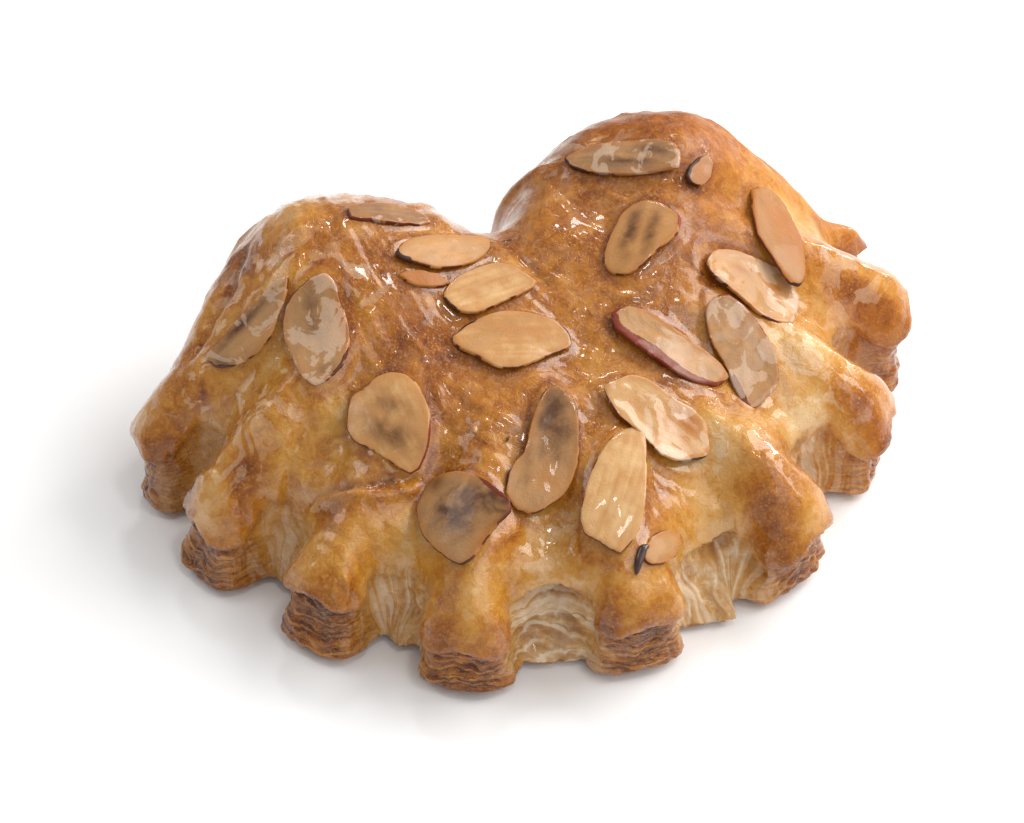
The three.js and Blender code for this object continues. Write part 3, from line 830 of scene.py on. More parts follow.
def glaze_skin() -> bpy.types.NodeTree:
    """Node group for the wet sugar glaze: fine crinkles, where it lies thick, and painted reflection patches.

    Its height sums three noises, in millimetres: puckers, crinkles stretched by distortion and grain.

    Returns:
        The group. Its inputs are Place, Pucker, Crinkle, Grain and Relief, and its outputs Normal, Thick
        and the mask of patches of painted reflection.
    """
    group = bpy.data.node_groups.new("glaze skin", "ShaderNodeTree")
    face = group.interface
    face.new_socket("Place", in_out="INPUT", socket_type="NodeSocketVector")
    for name in ("Pucker", "Crinkle", "Grain", "Relief"):
        face.new_socket(name, in_out="INPUT", socket_type="NodeSocketFloat")
    face.new_socket("Normal", in_out="OUTPUT", socket_type="NodeSocketVector")
    for name in ("Thick", "Film"):
        face.new_socket(name, in_out="OUTPUT", socket_type="NodeSocketFloat")
    tree = Tree(group)
    source = tree.node("NodeGroupInput").outputs
    place = source["Place"]
    end = tree.node("NodeGroupOutput")
    pucker = tree.times(tree.noise(place, 330.0, 2.0, 0.5, 0.6), source["Pucker"])
    folds = tree.math("ABSOLUTE", tree.less(tree.noise(place, 620.0, 2.0, 0.55, 1.4), 0.5))
    crinkle = tree.times(tree.step(folds, 0.0, 0.16), source["Crinkle"])
    grain = tree.times(tree.noise(place, 1900.0, 2.0), source["Grain"])
    height = tree.plus(tree.plus(pucker, crinkle), tree.plus(grain, source["Relief"]))
    bump = tree.node("ShaderNodeBump", {"Height": height, "Strength": 1.0, "Distance": MILLIMETRE})
    thick = tree.step(tree.noise(place, 130.0, 3.0, 0.6, 0.8), 0.42, 0.6)
    # Random patches in which a milky reflection of the glaze is painted into the colour.
    painted_reflection = tree.step(tree.noise(place, 140.0, 4.0, 0.55, 1.5), 0.52, 0.55)
    tree.feed(end, {"Normal": bump.outputs["Normal"], "Thick": thick, "Film": painted_reflection})
    return group


@dataclass(frozen=True)
class DoughFinish:
    """Baked dough under a clear glaze, from pale crumb to dark crust."""

    name: str = "glazed baked dough"
    stops: Stops = (
        (0.0, (216, 192, 160)),
        (0.16, (204, 162, 106)),
        (0.34, (192, 140, 62)),
        (0.5, (174, 114, 38)),
        (0.66, (150, 88, 24)),
        (0.82, (118, 62, 18)),
        (1.0, (80, 38, 14)),
    )
    # Golden specks: partly the colour of small blisters, partly painted glints of the glaze.
    golden_specks_and_glints: Paint = (226, 166, 82)
    # Painted sunlit tint, multiplied in on the side towards +X.
    sunny: Paint = (255, 226, 142)
    # Painted shade, multiplied into hollows and grooves.
    shaded: Paint = (178, 122, 74)
    thread: Paint = (232, 212, 184)
    gap: Paint = (150, 108, 68)
    ledge: Paint = (196, 134, 70)
    # Painted shade in the grooves between baked layers.
    groove_shade: Paint = (80, 38, 14)
    # Colour of painted milky reflections on the glaze.
    reflection_paint: Paint = (232, 206, 176)
    pucker: float = 0.14
    crinkle: float = 0.04
    grain: float = 0.009
    layer_relief: float = 0.16
    thin_rough: float = 0.3
    thick_rough: float = 0.14
    dry_rough: float = 0.3
    thin_coat: float = 0.55
    coat_roughness: float = 0.04
    coat_ior: float = 1.42
    specular: float = 0.28
    glow: float = 0.2
    glow_depth: float = 2.2

    def crust(self, tree: Tree, place: object, clouds: object, flecks: object) -> Socket:
        """Colour of the crust: the ramp by bake, golden specks that are partly painted glints,
        a painted sunlit tint and painted shade in hollows.

        Args:
            tree: the material's nodes.
            place: object coordinates.
            clouds: slow noise about 0.
            flecks: fine noise about 0.

        Returns:
            The colour.
        """
        bake = tree.plus(tree.mark("bake"), tree.times(clouds, 0.64))
        base = tree.ramp(tree.plus(bake, tree.times(flecks, 0.62), clamp=True), self.stops)
        # Golden specks, partly blisters and partly painted glints, kept off the torn crumb.
        speckle_and_glints = tree.step(tree.noise(place, 2300.0, 2.0, 0.6, 0.3), 0.55, 0.68)
        golden_specks_and_glints = tree.plus(tree.step(tree.dots(place, 1250.0), 0.42, 0.08), speckle_and_glints, clamp=True)
        golden_specks_and_glints = tree.times(golden_specks_and_glints, tree.step(clouds, -0.14, 0.12, 0.05, 0.3))
        golden_specks_and_glints = tree.times(golden_specks_and_glints, tree.less(1.0, tree.mark("crumb")))
        base = tree.layered(golden_specks_and_glints, base, self.golden_specks_and_glints)
        # Painted sunlit tint, warmer towards +X.
        base = tree.layered(tree.mark("sun"), base, self.sunny, "MULTIPLY")
        # Painted shade: the colour darkened in hollows and grooves.
        return tree.layered(tree.mark("cavity"), base, self.shaded, "MULTIPLY")

    def torn(self, tree: Tree, base: object) -> Socket:
        """Lays pale threads and brown gaps over the base, where the crumb is torn."""
        crumb = tree.mark("crumb")
        threads = tree.noise(tree.mark("strand", "Vector"), 0.6, 3.0, 0.5, 0.9)
        light = tree.times(tree.step(threads, 0.46, 0.6), tree.times(crumb, 0.85))
        gaps = tree.times(tree.step(threads, 0.5, 0.26), tree.times(crumb, 0.55))
        return tree.layered(gaps, tree.layered(light, base, self.thread), self.gap)

    def flaked(self, tree: Tree, base: object, clouds: object, flecks: object) -> tuple[object, object]:
        """Lays light ledges, and dark lines of painted shade in the grooves between them, over the base,
        where the dough is baked in layers.

        Args:
            tree: the material's nodes.
            base: the colour so far.
            clouds: slow noise about 0.
            flecks: fine noise about 0.

        Returns:
            The colour, and the height of the ledges less the grooves in millimetres.
        """
        level = tree.plus(tree.times(tree.mark("layer"), 1.5), tree.times(flecks, 1.6))
        saw = tree.math("FRACT", level)
        flaky = tree.times(tree.mark("flake"), tree.step(clouds, -0.18, 0.02, 0.35, 1.0))
        # Painted shade: dark lines in the grooves between layers.
        groove_shade = tree.times(tree.step(saw, 0.34, 0.06), flaky)
        ledge = tree.times(tree.step(saw, 0.6, 0.95), flaky)
        base = tree.layered(tree.times(ledge, 0.5), base, self.ledge)
        base = tree.layered(tree.times(groove_shade, 0.8), base, self.groove_shade)
        return base, tree.times(tree.less(ledge, groove_shade), self.layer_relief)

    def material(self, skin: bpy.types.NodeTree) -> bpy.types.Material:
        """Builds the material.

        Args:
            skin: the group of the glaze's skin.

        Returns:
            The material. It reads the marks bake, crumb, sun, cavity, strand, layer, flake, veil and wet.
        """
        made, tree, shader = blank(self.name)
        place = tree.place()
        clouds = tree.less(tree.noise(place, 170.0, 4.0, 0.6, 0.5), 0.5)
        flecks = tree.less(tree.noise(place, 620.0, 4.0, 0.7, 0.6), 0.5)
        base = self.torn(tree, self.crust(tree, place, clouds, flecks))
        base, raised = self.flaked(tree, base, clouds, flecks)
        surface = tree.node("ShaderNodeGroup", {
            "Place": place, "Relief": raised,
            "Pucker": self.pucker, "Crinkle": self.crinkle, "Grain": self.grain,
        }, node_tree=skin).outputs
        # Painted milky reflections, as strong as the mark asks.
        painted_reflection = tree.times(surface["Film"], tree.mark("glaze_sheen"))
        wet = tree.mark("wet")
        dull = tree.times(tree.less(1.0, wet), self.dry_rough)
        thick = surface["Thick"]
        tree.feed(shader, {
            "Base Color": tree.layered(tree.times(painted_reflection, 0.5), base, self.reflection_paint),
            "Roughness": tree.plus(tree.step(thick, 0.0, 1.0, self.thin_rough, self.thick_rough), dull),
            "Coat Weight": tree.times(wet, tree.step(thick, 0.0, 1.0, self.thin_coat, 1.0)),
            "Normal": surface["Normal"],
            "Coat Roughness": self.coat_roughness,
            "Coat IOR": self.coat_ior,
            "Specular IOR Level": self.specular,
            "Subsurface Weight": self.glow,
            "Subsurface Radius": (1.0, 0.5, 0.2),
            "Subsurface Scale": self.glow_depth * MILLIMETRE,
        })
        return made


@dataclass(frozen=True)
class AlmondFinish:
    """Sliced almond: cream to orange flesh, brown smudges and a dark skin, under a film of glaze with painted
    reflections.
    """

    name: str = "toasted almond"
    flesh: Stops = (
        (0.0, (216, 180, 128)),
        (0.35, (190, 138, 82)),
        (0.65, (174, 130, 84)),
        (1.0, (136, 98, 68)),
    )
    skin: Stops = (
        (0.0, (156, 58, 36)),
        (0.5, (104, 44, 24)),
        (1.0, (56, 32, 24)),
    )
    toasted: Paint = (172, 106, 42)
    stained: Paint = (88, 52, 26)
    pore: Paint = (150, 96, 56)
    # Colour of painted milky reflections on the glaze.
    reflection_paint: Paint = (228, 206, 184)
    pucker: float = 0.09
    crinkle: float = 0.02
    grain: float = 0.004
    thin_rough: float = 0.5
    thick_rough: float = 0.34
    thin_coat: float = 0.35
    coat_roughness: float = 0.05
    specular: float = 0.25
    glow: float = 0.25
    glow_depth: float = 1.4

    def cut_face(self, tree: Tree, place: object) -> Socket:
        """Colour of the flesh with its toast, stains and pores, and of the skin at the rim."""
        clouds = tree.less(tree.noise(place, 260.0, 3.0, 0.55, 0.4), 0.5)
        tone = tree.plus(tree.mark("tone"), tree.times(clouds, 0.3), clamp=True)
        base = tree.layered(tree.mark("toast"), tree.ramp(tone, self.flesh), self.toasted)
        stain = tree.times(tree.mark("smudge"), tree.step(clouds, -0.2, 0.14, 0.35, 1.0))
        base = tree.layered(stain, base, self.stained)
        pores = tree.step(tree.dots(place, 900.0), 0.16, 0.06, 0.0, 0.28)
        base = tree.layered(pores, base, self.pore)
        edge = tree.plus(tree.mark("skin"), tree.times(clouds, 0.35))
        return tree.mix(tree.step(edge, 0.35, 0.6), base, tree.ramp(tree.mark("char"), self.skin))

    def material(self, skin: bpy.types.NodeTree) -> bpy.types.Material:
        """Builds the material.

        Args:
            skin: the group of the glaze's skin.

        Returns:
            The material, which reads the marks tone, toast, smudge, skin, char and veil.
        """
        made, tree, shader = blank(self.name)
        place = tree.place()
        glaze_sheen = tree.mark("glaze_sheen")
        surface = tree.node("ShaderNodeGroup", {
            "Place": place, "Pucker": self.pucker, "Crinkle": self.crinkle, "Grain": self.grain,
        }, node_tree=skin).outputs
        # Painted milky reflections, only where the slice is well glazed.
        painted_reflection = tree.times(surface["Film"], tree.step(glaze_sheen, 0.4, 1.0))
        thick = surface["Thick"]
        bare = tree.less(1.0, tree.times(tree.mark("skin"), 0.7))
        coat = tree.times(tree.times(glaze_sheen, bare), tree.step(thick, 0.0, 1.0, self.thin_coat, 1.0))
        tree.feed(shader, {
            "Base Color": tree.layered(tree.times(painted_reflection, 0.34), self.cut_face(tree, place), self.reflection_paint),
            "Roughness": tree.step(thick, 0.0, 1.0, self.thin_rough, self.thick_rough),
            "Coat Weight": coat,
            "Normal": surface["Normal"],
            "Coat Roughness": self.coat_roughness,
            "Specular IOR Level": self.specular,
            "Subsurface Weight": self.glow,
            "Subsurface Radius": (1.0, 0.55, 0.28),
            "Subsurface Scale": self.glow_depth * MILLIMETRE,
        })
        return made


@dataclass(frozen=True)
class PlainFinish:
    """A small bit of one colour with a little mottling, such as a splinter of skin or a seed."""

    name: str
    colour: Paint
    dark: Paint
    roughness: float
    coat: float = 0.6
    coat_roughness: float = 0.12

    def material(self) -> bpy.types.Material:
        """Builds the material: two colours mixed by noise."""
        made, tree, shader = blank(self.name)
        share = tree.step(tree.noise(tree.place(), 900.0, 2.0), 0.35, 0.65)
        tree.feed(shader, {
            "Base Color": tree.layered(share, linear(*self.colour), self.dark),
            "Roughness": self.roughness,
            "Coat Weight": self.coat,
            "Coat Roughness": self.coat_roughness,
        })
        return made


@dataclass(frozen=True)
class Smudge:
    """A stain on a slice, brown or warm orange: place, radii and direction in its axes, and strength."""

    at: Place
    radii: Place
    turn: float
    amount: float
    warm: bool = False


@dataclass(frozen=True)
class Skin:
    """A strip of almond skin on a slice's rim: from and to, in degrees round from its tip, width and
    darkness."""

    start: float
    end: float
    width: float
    char: float


@dataclass(frozen=True)
class Slice:
    """An almond slice: place, length and width, direction, the shape of its rim in percent of a plain
    oval at even steps round it, its tone, toast along the rim, glaze, stains and skin."""

    at: Place
    size: Place
    turn: float
    rim: tuple[int, ...]
    tone: float
    toast: float
    # How glazed the slice is: its coat, its glaze relief and its painted milky reflections.
    glaze_sheen: float
    smudges: tuple[Smudge, ...] = ()
    skins: tuple[Skin, ...] = ()


SLICES = (
    Slice((21.8, 9), (20, 6.6), 146,
        (95, 92, 96, 97, 101, 102, 104, 108, 109, 112, 122, 111,
         107, 109, 115, 129, 134, 110, 100, 95, 90, 87, 89, 95),
        tone=0.8, toast=0.4, glaze_sheen=0.9,
        smudges=(Smudge((-6.4, -1.3), (2.8, 1.1), 172, 0.7),
                 Smudge((-1.6, 0.9), (4.6, 0.8), 180, 0.6)),
        skins=(Skin(-12, 32, 0.5, 0.9),)),
    Slice((33, 0.6), (8.4, 6.2), 20,
        (51, 72, 85, 99, 93, 90, 84, 85, 87, 88, 94, 92,
         87, 79, 76, 69, 62, 51, 44, 41, 37, 36, 38, 42),
        tone=0.8, toast=0.7, glaze_sheen=0.3,
        smudges=(Smudge((0, 0), (4, 3), 0, 0.5, warm=True),),
        skins=(Skin(40, 199, 0.75, 0.9),)),
    Slice((18.4, -6.2), (16.4, 10.8), 12,
        (87, 87, 94, 103, 112, 112, 102, 88, 82, 80, 82, 88,
         97, 104, 107, 107, 93, 80, 71, 69, 78, 87, 88, 93),
        tone=0.42, toast=0.5, glaze_sheen=0.4,
        smudges=(Smudge((-0.9, 1.9), (5.4, 1.4), -143, 0.7),
                 Smudge((1.5, -0.5), (5, 1.2), -145, 0.62),
                 Smudge((0, 0), (8, 5), -143, 0.22, warm=True)),
        skins=(Skin(25, 65, 0.15, 0.85), Skin(-22, -2, 0.6, 0.05))),
    Slice((44, -10.2), (18, 8), 95,
        (114, 116, 123, 124, 135, 152, 175, 162, 158, 152, 133, 105,
         75, 58, 47, 42, 40, 37, 37, 40, 46, 68, 112, 120),
        tone=0.65, toast=0.9, glaze_sheen=0.1,
        smudges=(Smudge((0, 0), (9, 5), 0, 0.7, warm=True),),
        skins=(Skin(38, 157, 0.2, 0.5), Skin(157, 167, 0.45, 0.9))),
    Slice((33.6, -16.9), (17.6, 10.8), -24,
        (92, 88, 91, 90, 94, 91, 95, 102, 114, 125, 123, 117,
         110, 89, 76, 74, 77, 89, 115, 133, 132, 112, 100, 93),
        tone=0.42, toast=0.2, glaze_sheen=1,
        smudges=(Smudge((-3.5, 2.2), (1.6, 0.7), -20, 0.5, warm=True),
                 Smudge((3.6, 0.5), (2.1, 1.2), -12, 0.6, warm=True))),
    Slice((26.6, -27.6), (18.8, 8.8), -77,
        (74, 75, 77, 82, 89, 101, 112, 127, 141, 147, 134, 121,
         110, 99, 93, 88, 85, 83, 92, 120, 146, 112, 90, 79),
        tone=0.6, toast=0.25, glaze_sheen=1,
        smudges=(Smudge((-3.6, 2), (2.1, 0.7), -53, 0.3, warm=True),
                 Smudge((-9.7, 2.9), (0.7, 0.6), 9, 0.3)),
        skins=(Skin(8, 206, 0.32, 0.4), Skin(-84, -32, 1.5, 0.5))),
    Slice((14.2, -23.6), (20.6, 7.4), 131,
        (98, 97, 100, 102, 105, 111, 121, 137, 129, 118, 114, 108,
         110, 115, 108, 86, 75, 70, 71, 87, 112, 118, 110, 106),
        tone=0.6, toast=0.5, glaze_sheen=0.6,
        skins=(Skin(-27, 190, 2.3, 0.35),)),
    Slice((6.6, -35.6), (20.5, 9.4), 120,
        (98, 109, 109, 111, 114, 102, 106, 121, 111, 98, 90, 89,
         91, 93, 94, 101, 113, 106, 89, 93, 102, 105, 101, 96),
        tone=0.26, toast=0.25, glaze_sheen=0.9,
        smudges=(Smudge((-3.5, -2.5), (3.2, 2.2), 173, 0.75, warm=True),
                 Smudge((0.6, 1.2), (4.1, 1.2), 109, 0.2, warm=True)),
        skins=(Skin(13, 52, 0.2, 0.5), Skin(146, 183, 0.3, 1))),
    Slice((-5.6, -46), (20, 9.8), 50,
        (133, 132, 132, 129, 123, 119, 118, 118, 121, 114, 98, 91,
         92, 98, 110, 105, 102, 90, 80, 76, 74, 77, 86, 106),
        tone=0.22, toast=0.12, glaze_sheen=0.4,
        skins=(Skin(133, 199, 0.16, 0.55),)),
    Slice((-12.8, -32.8), (22, 9.8), 52,
        (94, 101, 104, 92, 78, 68, 64, 66, 109, 114, 108, 104,
         100, 102, 103, 108, 119, 120, 114, 103, 96, 95, 94, 91),
        tone=0.6, toast=0.4, glaze_sheen=0.4,
        smudges=(Smudge((4.6, -0.3), (6.4, 3), -163, 0.9),
                 Smudge((-3.4, 1.8), (4, 1), 12, 0.4),
                 Smudge((-4.5, -1.8), (2.6, 1.6), -99, 0.25, warm=True)),
        skins=(Skin(141, 152, 0.45, 0.95),)),
    Slice((-29.5, -38.6), (15.6, 15.6), 0,
        (96, 92, 92, 97, 106, 118, 126, 128, 121, 110, 98, 92,
         85, 84, 85, 93, 102, 96, 83, 78, 79, 85, 105, 107),
        tone=0.6, toast=0.4, glaze_sheen=0.25,
        smudges=(Smudge((2.3, 0.4), (6.6, 4), -37, 1.25),
                 Smudge((-0.7, 8.1), (1.9, 1.6), -18, 0.5),
                 Smudge((2, -5.6), (4.7, 1.1), 19, 0.7, warm=True)),
        skins=(Skin(-23, 39, 0.9, 0.5), Skin(142, 247, 0.2, 0.8))),
    Slice((-34.2, -19.8), (17.8, 13), 262,
        (101, 102, 99, 98, 100, 104, 111, 116, 121, 121, 113, 103,
         91, 90, 100, 99, 99, 101, 93, 74, 67, 66, 70, 81),
        tone=0.34, toast=0.2, glaze_sheen=0.35,
        smudges=(Smudge((-2.9, 2.2), (3.6, 2.2), 40, 0.5),
                 Smudge((1.8, 0), (5, 2.4), 31, 0.55)),
        skins=(Skin(-152, -115, 0.2, 0.85), Skin(2, 72, 0.35, 0.35), Skin(140, 165, 0.16, 0.7))),
    Slice((-38.8, -1.4), (19, 10.6), 60,
        (96, 90, 89, 93, 96, 97, 91, 80, 75, 77, 79, 82,
         88, 93, 95, 100, 110, 114, 116, 108, 106, 115, 117, 105),
        tone=0.62, toast=0.3, glaze_sheen=1,
        smudges=(Smudge((3.2, -1), (5.5, 2.3), -172, 0.6),
                 Smudge((2.6, -5), (4.8, 0.8), -171, 0.9, warm=True),
                 Smudge((-5.8, -2.3), (1.7, 1), -79, 0.5)),
        skins=(Skin(-164, -115, 0.55, 0.7), Skin(-10, 58, 0.25, 0.9))),
    Slice((-48.2, 6.6), (19.4, 8), 10,
        (113, 127, 107, 64, 52, 47, 44, 40, 40, 42, 56, 83,
         84, 84, 91, 96, 107, 118, 125, 120, 105, 93, 95, 103),
        tone=0.6, toast=0.3, glaze_sheen=0.9,
        smudges=(Smudge((0.8, 0.4), (6.9, 0.9), 3, 0.75),
                 Smudge((-6, -2.1), (2.4, 0.8), -47, 0.5)),
        skins=(Skin(176, 219, 0.6, 0.8),)),
    Slice((-19.6, 12.2), (14.5, 5.8), 170,
        (96, 99, 109, 103, 89, 99, 96, 100, 90, 101, 101, 109,
         102, 103, 91, 113, 88, 106, 98, 94, 95, 95, 101, 99),
        tone=0.9, toast=0.5, glaze_sheen=1,
        skins=(Skin(-25, 25, 0.3, 0.5),)),
    Slice((-12.8, 4.1), (18.4, 6.6), 186,
        (103, 94, 91, 95, 105, 113, 119, 118, 112, 106, 103, 99,
         102, 95, 83, 74, 72, 75, 85, 102, 121, 122, 118, 114),
        tone=0.45, toast=0.15, glaze_sheen=0.1,
        smudges=(Smudge((-0.7, 0.9), (1.3, 0.7), 158, 0.15, warm=True),),
        skins=(Skin(-8, 4, 0.7, 0.95),)),
    Slice((-19, -0.6), (8.4, 3), -24,
        (109, 89, 99, 94, 104, 87, 98, 101, 90, 105, 101, 106,
         106, 94, 95, 98, 104, 105, 96, 96, 94, 96, 98, 99),
        tone=0.95, toast=0.9, glaze_sheen=0.15,
        smudges=(Smudge((0, 0), (5, 2), 0, 0.9, warm=True),)),
    Slice((-8.6, -4.9), (17, 7.8), 2,
        (84, 82, 85, 95, 109, 127, 127, 125, 123, 116, 112, 102,
         99, 98, 102, 102, 98, 83, 71, 70, 75, 81, 92, 93),
        tone=0.26, toast=0.3, glaze_sheen=0.5,
        smudges=(Smudge((-0.4, 1.6), (6.6, 1.6), 0, 0.15, warm=True),),
        skins=(Skin(175, 193, 0.45, 0.9), Skin(56, 98, 0.2, 0.5))),
    Slice((-9.6, -14.7), (19.6, 9.4), -18,
        (99, 99, 102, 108, 110, 116, 119, 115, 109, 106, 103, 105,
         98, 92, 87, 89, 99, 117, 120, 101, 91, 89, 94, 101),
        tone=0.34, toast=0.35, glaze_sheen=0.5,
        smudges=(Smudge((1, 1.7), (6.8, 1.6), -15, 0.25, warm=True),),
        skins=(Skin(139, 172, 0.5, 0.95), Skin(-5, 23, 0.4, 0.95))),
    Slice((-2.6, -54.4), (8.6, 4.8), 16,
        (112, 97, 97, 101, 93, 97, 100, 104, 92, 108, 98, 101,
         105, 104, 106, 101, 100, 102, 94, 107, 94, 91, 111, 99),
        tone=0.5, toast=0.5, glaze_sheen=0.4,
        skins=(Skin(60, 110, 0.2, 0.6),)),
)


@dataclass
class AlmondSlices:
    """The almond slices, each laid on the dough like its plain solid and let down into the glaze."""

    fan: Fan
    noise: Noise
    thick: float = 0.86
    gap: float = 0.55
    sunk: float = 0.46
    step: float = 5.0
    reach: float = 0.42
    bend: float = 0.03
    probe_turns: int = 16
    probe_rings: tuple[float, ...] = (0.0, 0.3, 0.55, 0.8, 1.0)
    turns: int = 96
    rings: int = 20
    rim: float = 0.28
    rim_arcs: Vector = (22.0, 48.0, 72.0)
    waist: float = 0.55
    crown: float = 0.45
    below: tuple[Place, ...] = ((1.0, 0.55), (0.995, 0.25), (0.97, 0.0), (0.75, 0.0), (0.4, 0.0))

    def frame(self, item: Slice) -> tuple[Array, Array]:
        """Middle of a slice on the dough's top, and its directions along, across and out.

        Args:
            item: the slice.

        Returns:
            The middle, of shape (3,), and the directions as rows of shape (3, 3).
        """
        x, y = item.at
        height = self.fan.height_at
        slope_x = (height(x + self.step, y) - height(x - self.step, y)) / (2.0 * self.step)
        slope_y = (height(x, y + self.step) - height(x, y - self.step)) / (2.0 * self.step)
        out = np.array([-slope_x, -slope_y, 1.0])
        out /= np.linalg.norm(out)
        angle = np.radians(item.turn)
        along = np.array([np.cos(angle), np.sin(angle), 0.0])
        along -= out * (along @ out)
        along /= np.linalg.norm(along)
        return np.array([x, y, height(x, y)]), np.stack([along, np.cross(out, along), out])

    def bends(self, item: Slice, middle: Array, axes: Array) -> Array:
        """Bend of the dough along both directions of a slice, as far as the slice can follow it."""
        row = []
        for axis, size in zip(axes[:2], item.size):
            way = axis * size * self.reach
            x = middle[0] + np.array([way[0], -way[0]])
            y = middle[1] + np.array([way[1], -way[1]])
            bent = (self.fan.height(x, y).sum() - 2.0 * middle[2]) * axes[2, 2] / (size * self.reach) ** 2
            row.append(float(np.clip(bent, -self.bend, self.bend)))
        return np.array(row)

    def outline(self, item: Slice, angle: Array) -> tuple[Array, Array]:
        """Outline of a slice: an oval, A cos t and B sin t, times the share of its rim at t.

        Args:
            item: the slice.
            angle: values of t round it.

        Returns:
            Places along and across.
        """
        steps = np.arange(len(item.rim)) / len(item.rim) * FULL_TURN
        share = np.interp(angle, steps, np.array(item.rim) / 100.0, period=FULL_TURN)
        return item.size[0] / 2.0 * np.cos(angle) * share, item.size[1] / 2.0 * np.sin(angle) * share

    def lift(self, item: Slice, middle: Array, axes: Array, bends: Array) -> float:
        """How far a slice is moved out so that its lower face just clears the dough by the gap."""
        angle = (np.arange(self.probe_turns) + 0.5) / self.probe_turns * FULL_TURN
        a, b = self.outline(item, angle)
        shares = np.array(self.probe_rings)[:, None]
        a, b = (a * shares).ravel(), (b * shares).ravel()
        up = 0.5 * (bends[0] * a * a + bends[1] * b * b)
        points = middle + np.stack([a, b, up], 1) @ axes
        least = ((points[:, 2] - self.fan.height(points[:, 0], points[:, 1])) * axes[2, 2]).min()
        return self.gap - float(least)

    def inward(self, item: Slice, a: Array, b: Array) -> Array:
        """Distance of places on a slice from its rim, drawn as straight steps."""
        angle = np.arange(self.turns) / self.turns * FULL_TURN
        rim = np.stack(self.outline(item, angle), 1)
        way = np.roll(rim, -1, 0) - rim
        off = np.stack([a, b], 1)[:, None, :] - rim[None]
        t = np.clip((off * way).sum(2) / (way**2).sum(1), 0.0, 1.0)
        return np.linalg.norm(off - t[:, :, None] * way, axis=2).min(1)

    def skin(self, item: Slice, a: Array, b: Array, inward: Array, wobble: Array) -> tuple[Array, Array]:
        """Where a slice's strips of skin lie, and how dark they are.

        Args:
            item: the slice.
            a: places along.
            b: places across.
            inward: distance from the rim.
            wobble: noise that frays the strips.

        Returns:
            Share of skin from 0 to 1, and its darkness.
        """
        turn = np.degrees(np.arctan2(b, a))
        skin, char = np.zeros_like(a), np.full_like(a, 0.6)
        for strip in item.skins:
            middle, half = (strip.start + strip.end) / 2.0, (strip.end - strip.start) / 2.0
            off = np.abs((turn - middle + 180.0) % 360.0 - 180.0)
            within = ease(half + 5.0, half * 0.45, off + 5.0 * wobble)
            width = 0.78 * strip.width * within * (1.0 + 0.3 * wobble)
            here = ease(0.0, 0.25, within) * ease(width + 0.14, width - 0.14, inward)
            char = np.where(here > skin, strip.char, char)
            skin = np.maximum(skin, here)
        return skin, char

    def marks(self, item: Slice, a: Array, b: Array, under: Array, seed: float) -> Values:
        """Values that the finish reads at each point of a slice.

        Args:
            item: the slice.
            a: places along.
            b: places across.
            under: whether each point is on the lower face or the rim.
            seed: a number of its own for the slice's patterns.

        Returns:
            tone, toast, smudge, skin, char and veil by name.
        """
        plan = np.stack([a, b, np.full_like(a, seed * 31.7)], 1)
        inward = np.where(under, 0.0, self.inward(item, a, b))
        wobble = self.noise.cloud(plan, 2.6, 3)
        grain = self.noise.cloud(plan, (9.0, 0.8, 9.0), 2)
        streak = self.noise.cloud(plan, (3.6, 1.2, 3.0), 3)
        smudge, warm = np.zeros_like(a), np.zeros_like(a)
        for stain in item.smudges:
            along, across = turned(a, b, stain.at, stain.turn)
            far = ((along / stain.radii[0]) ** 2 + (across / stain.radii[1]) ** 2) ** 1.1
            here = 1.4 * stain.amount * np.exp(-far * (1.0 + 0.5 * wobble)) * (1.0 + 0.5 * streak)
            if stain.warm:
                warm = np.maximum(warm, here)
            else:
                smudge = np.maximum(smudge, here)
        skin, char = self.skin(item, a, b, inward, wobble)
        thin = ease(0.3, 0.06, inward + 0.12 * wobble) * ease(-0.35, 0.25, wobble + streak) * 0.8
        skin = np.maximum(skin, thin)
        toast = (0.2 + item.toast) * ease(1.5, 0.1, inward + 0.6 * wobble) * (0.8 + 0.6 * wobble)
        return {
            "tone": np.clip(item.tone + 0.22 * wobble + 0.17 * grain, 0.0, 1.0),
            "toast": np.clip(np.maximum(toast, warm), 0.0, 1.0),
            "smudge": np.clip(smudge, 0.0, 1.0),
            "skin": skin,
            "char": char,
            "glaze_sheen": np.full_like(a, item.glaze_sheen),
        }

    def build(self, item: Slice, k: int, material: bpy.types.Material) -> bpy.types.Object:
        """Builds one slice: a curved upper face, a rounded rim and a lower face, on rings about its middle.

        The rim is a quarter ellipse above and below; the faces follow the bends, a shallow dish or ridge
        and a small noise. Each ring is the outline times its share.

        Args:
            item: the slice.
            k: its number from 0.
            material: its finish.

        Returns:
            The piece.
        """
        name = f"almond_slice_{k + 1:02d}"
        middle, axes = self.frame(item)
        bends = self.bends(item, middle, axes)
        lift = self.lift(item, middle, axes, bends) - self.sunk
        angle = np.arange(self.turns) / self.turns * FULL_TURN
        rows = Rows()
        inner = 1.0 - self.rim / (min(item.size) / 2.0)
        shares = list(np.arange(1, self.rings) / (self.rings - 1) * inner)
        arcs = np.radians(self.rim_arcs)
        profile = [(share, 1.0) for share in shares]
        profile += [(inner + (1.0 - inner) * np.sin(t), self.waist + self.crown * np.cos(t)) for t in arcs]
        profile += self.below
        rows.add(x=[0.0], y=[0.0], up=[1.0], turn=[0.0], share=[0.0])
        for share, up in profile:
            a, b = self.outline(item, angle)
            rows.add(x=a * share, y=b * share, up=up, turn=angle, share=share)
        rows.add(x=[0.0], y=[0.0], up=[0.0], turn=[0.0], share=[0.0])
        a, b, up, turn, share = (rows.column(name) for name in ("x", "y", "up", "turn", "share"))
        plan = np.stack([a, b, np.full_like(a, k * 53.1)], 1)
        ring = np.stack([8.0 * np.cos(turn), 8.0 * np.sin(turn), 0.0 * turn + k * 7.7], 1)
        nick = 1.0 + 0.02 * self.noise.cloud(ring, 1.6, 2) * share
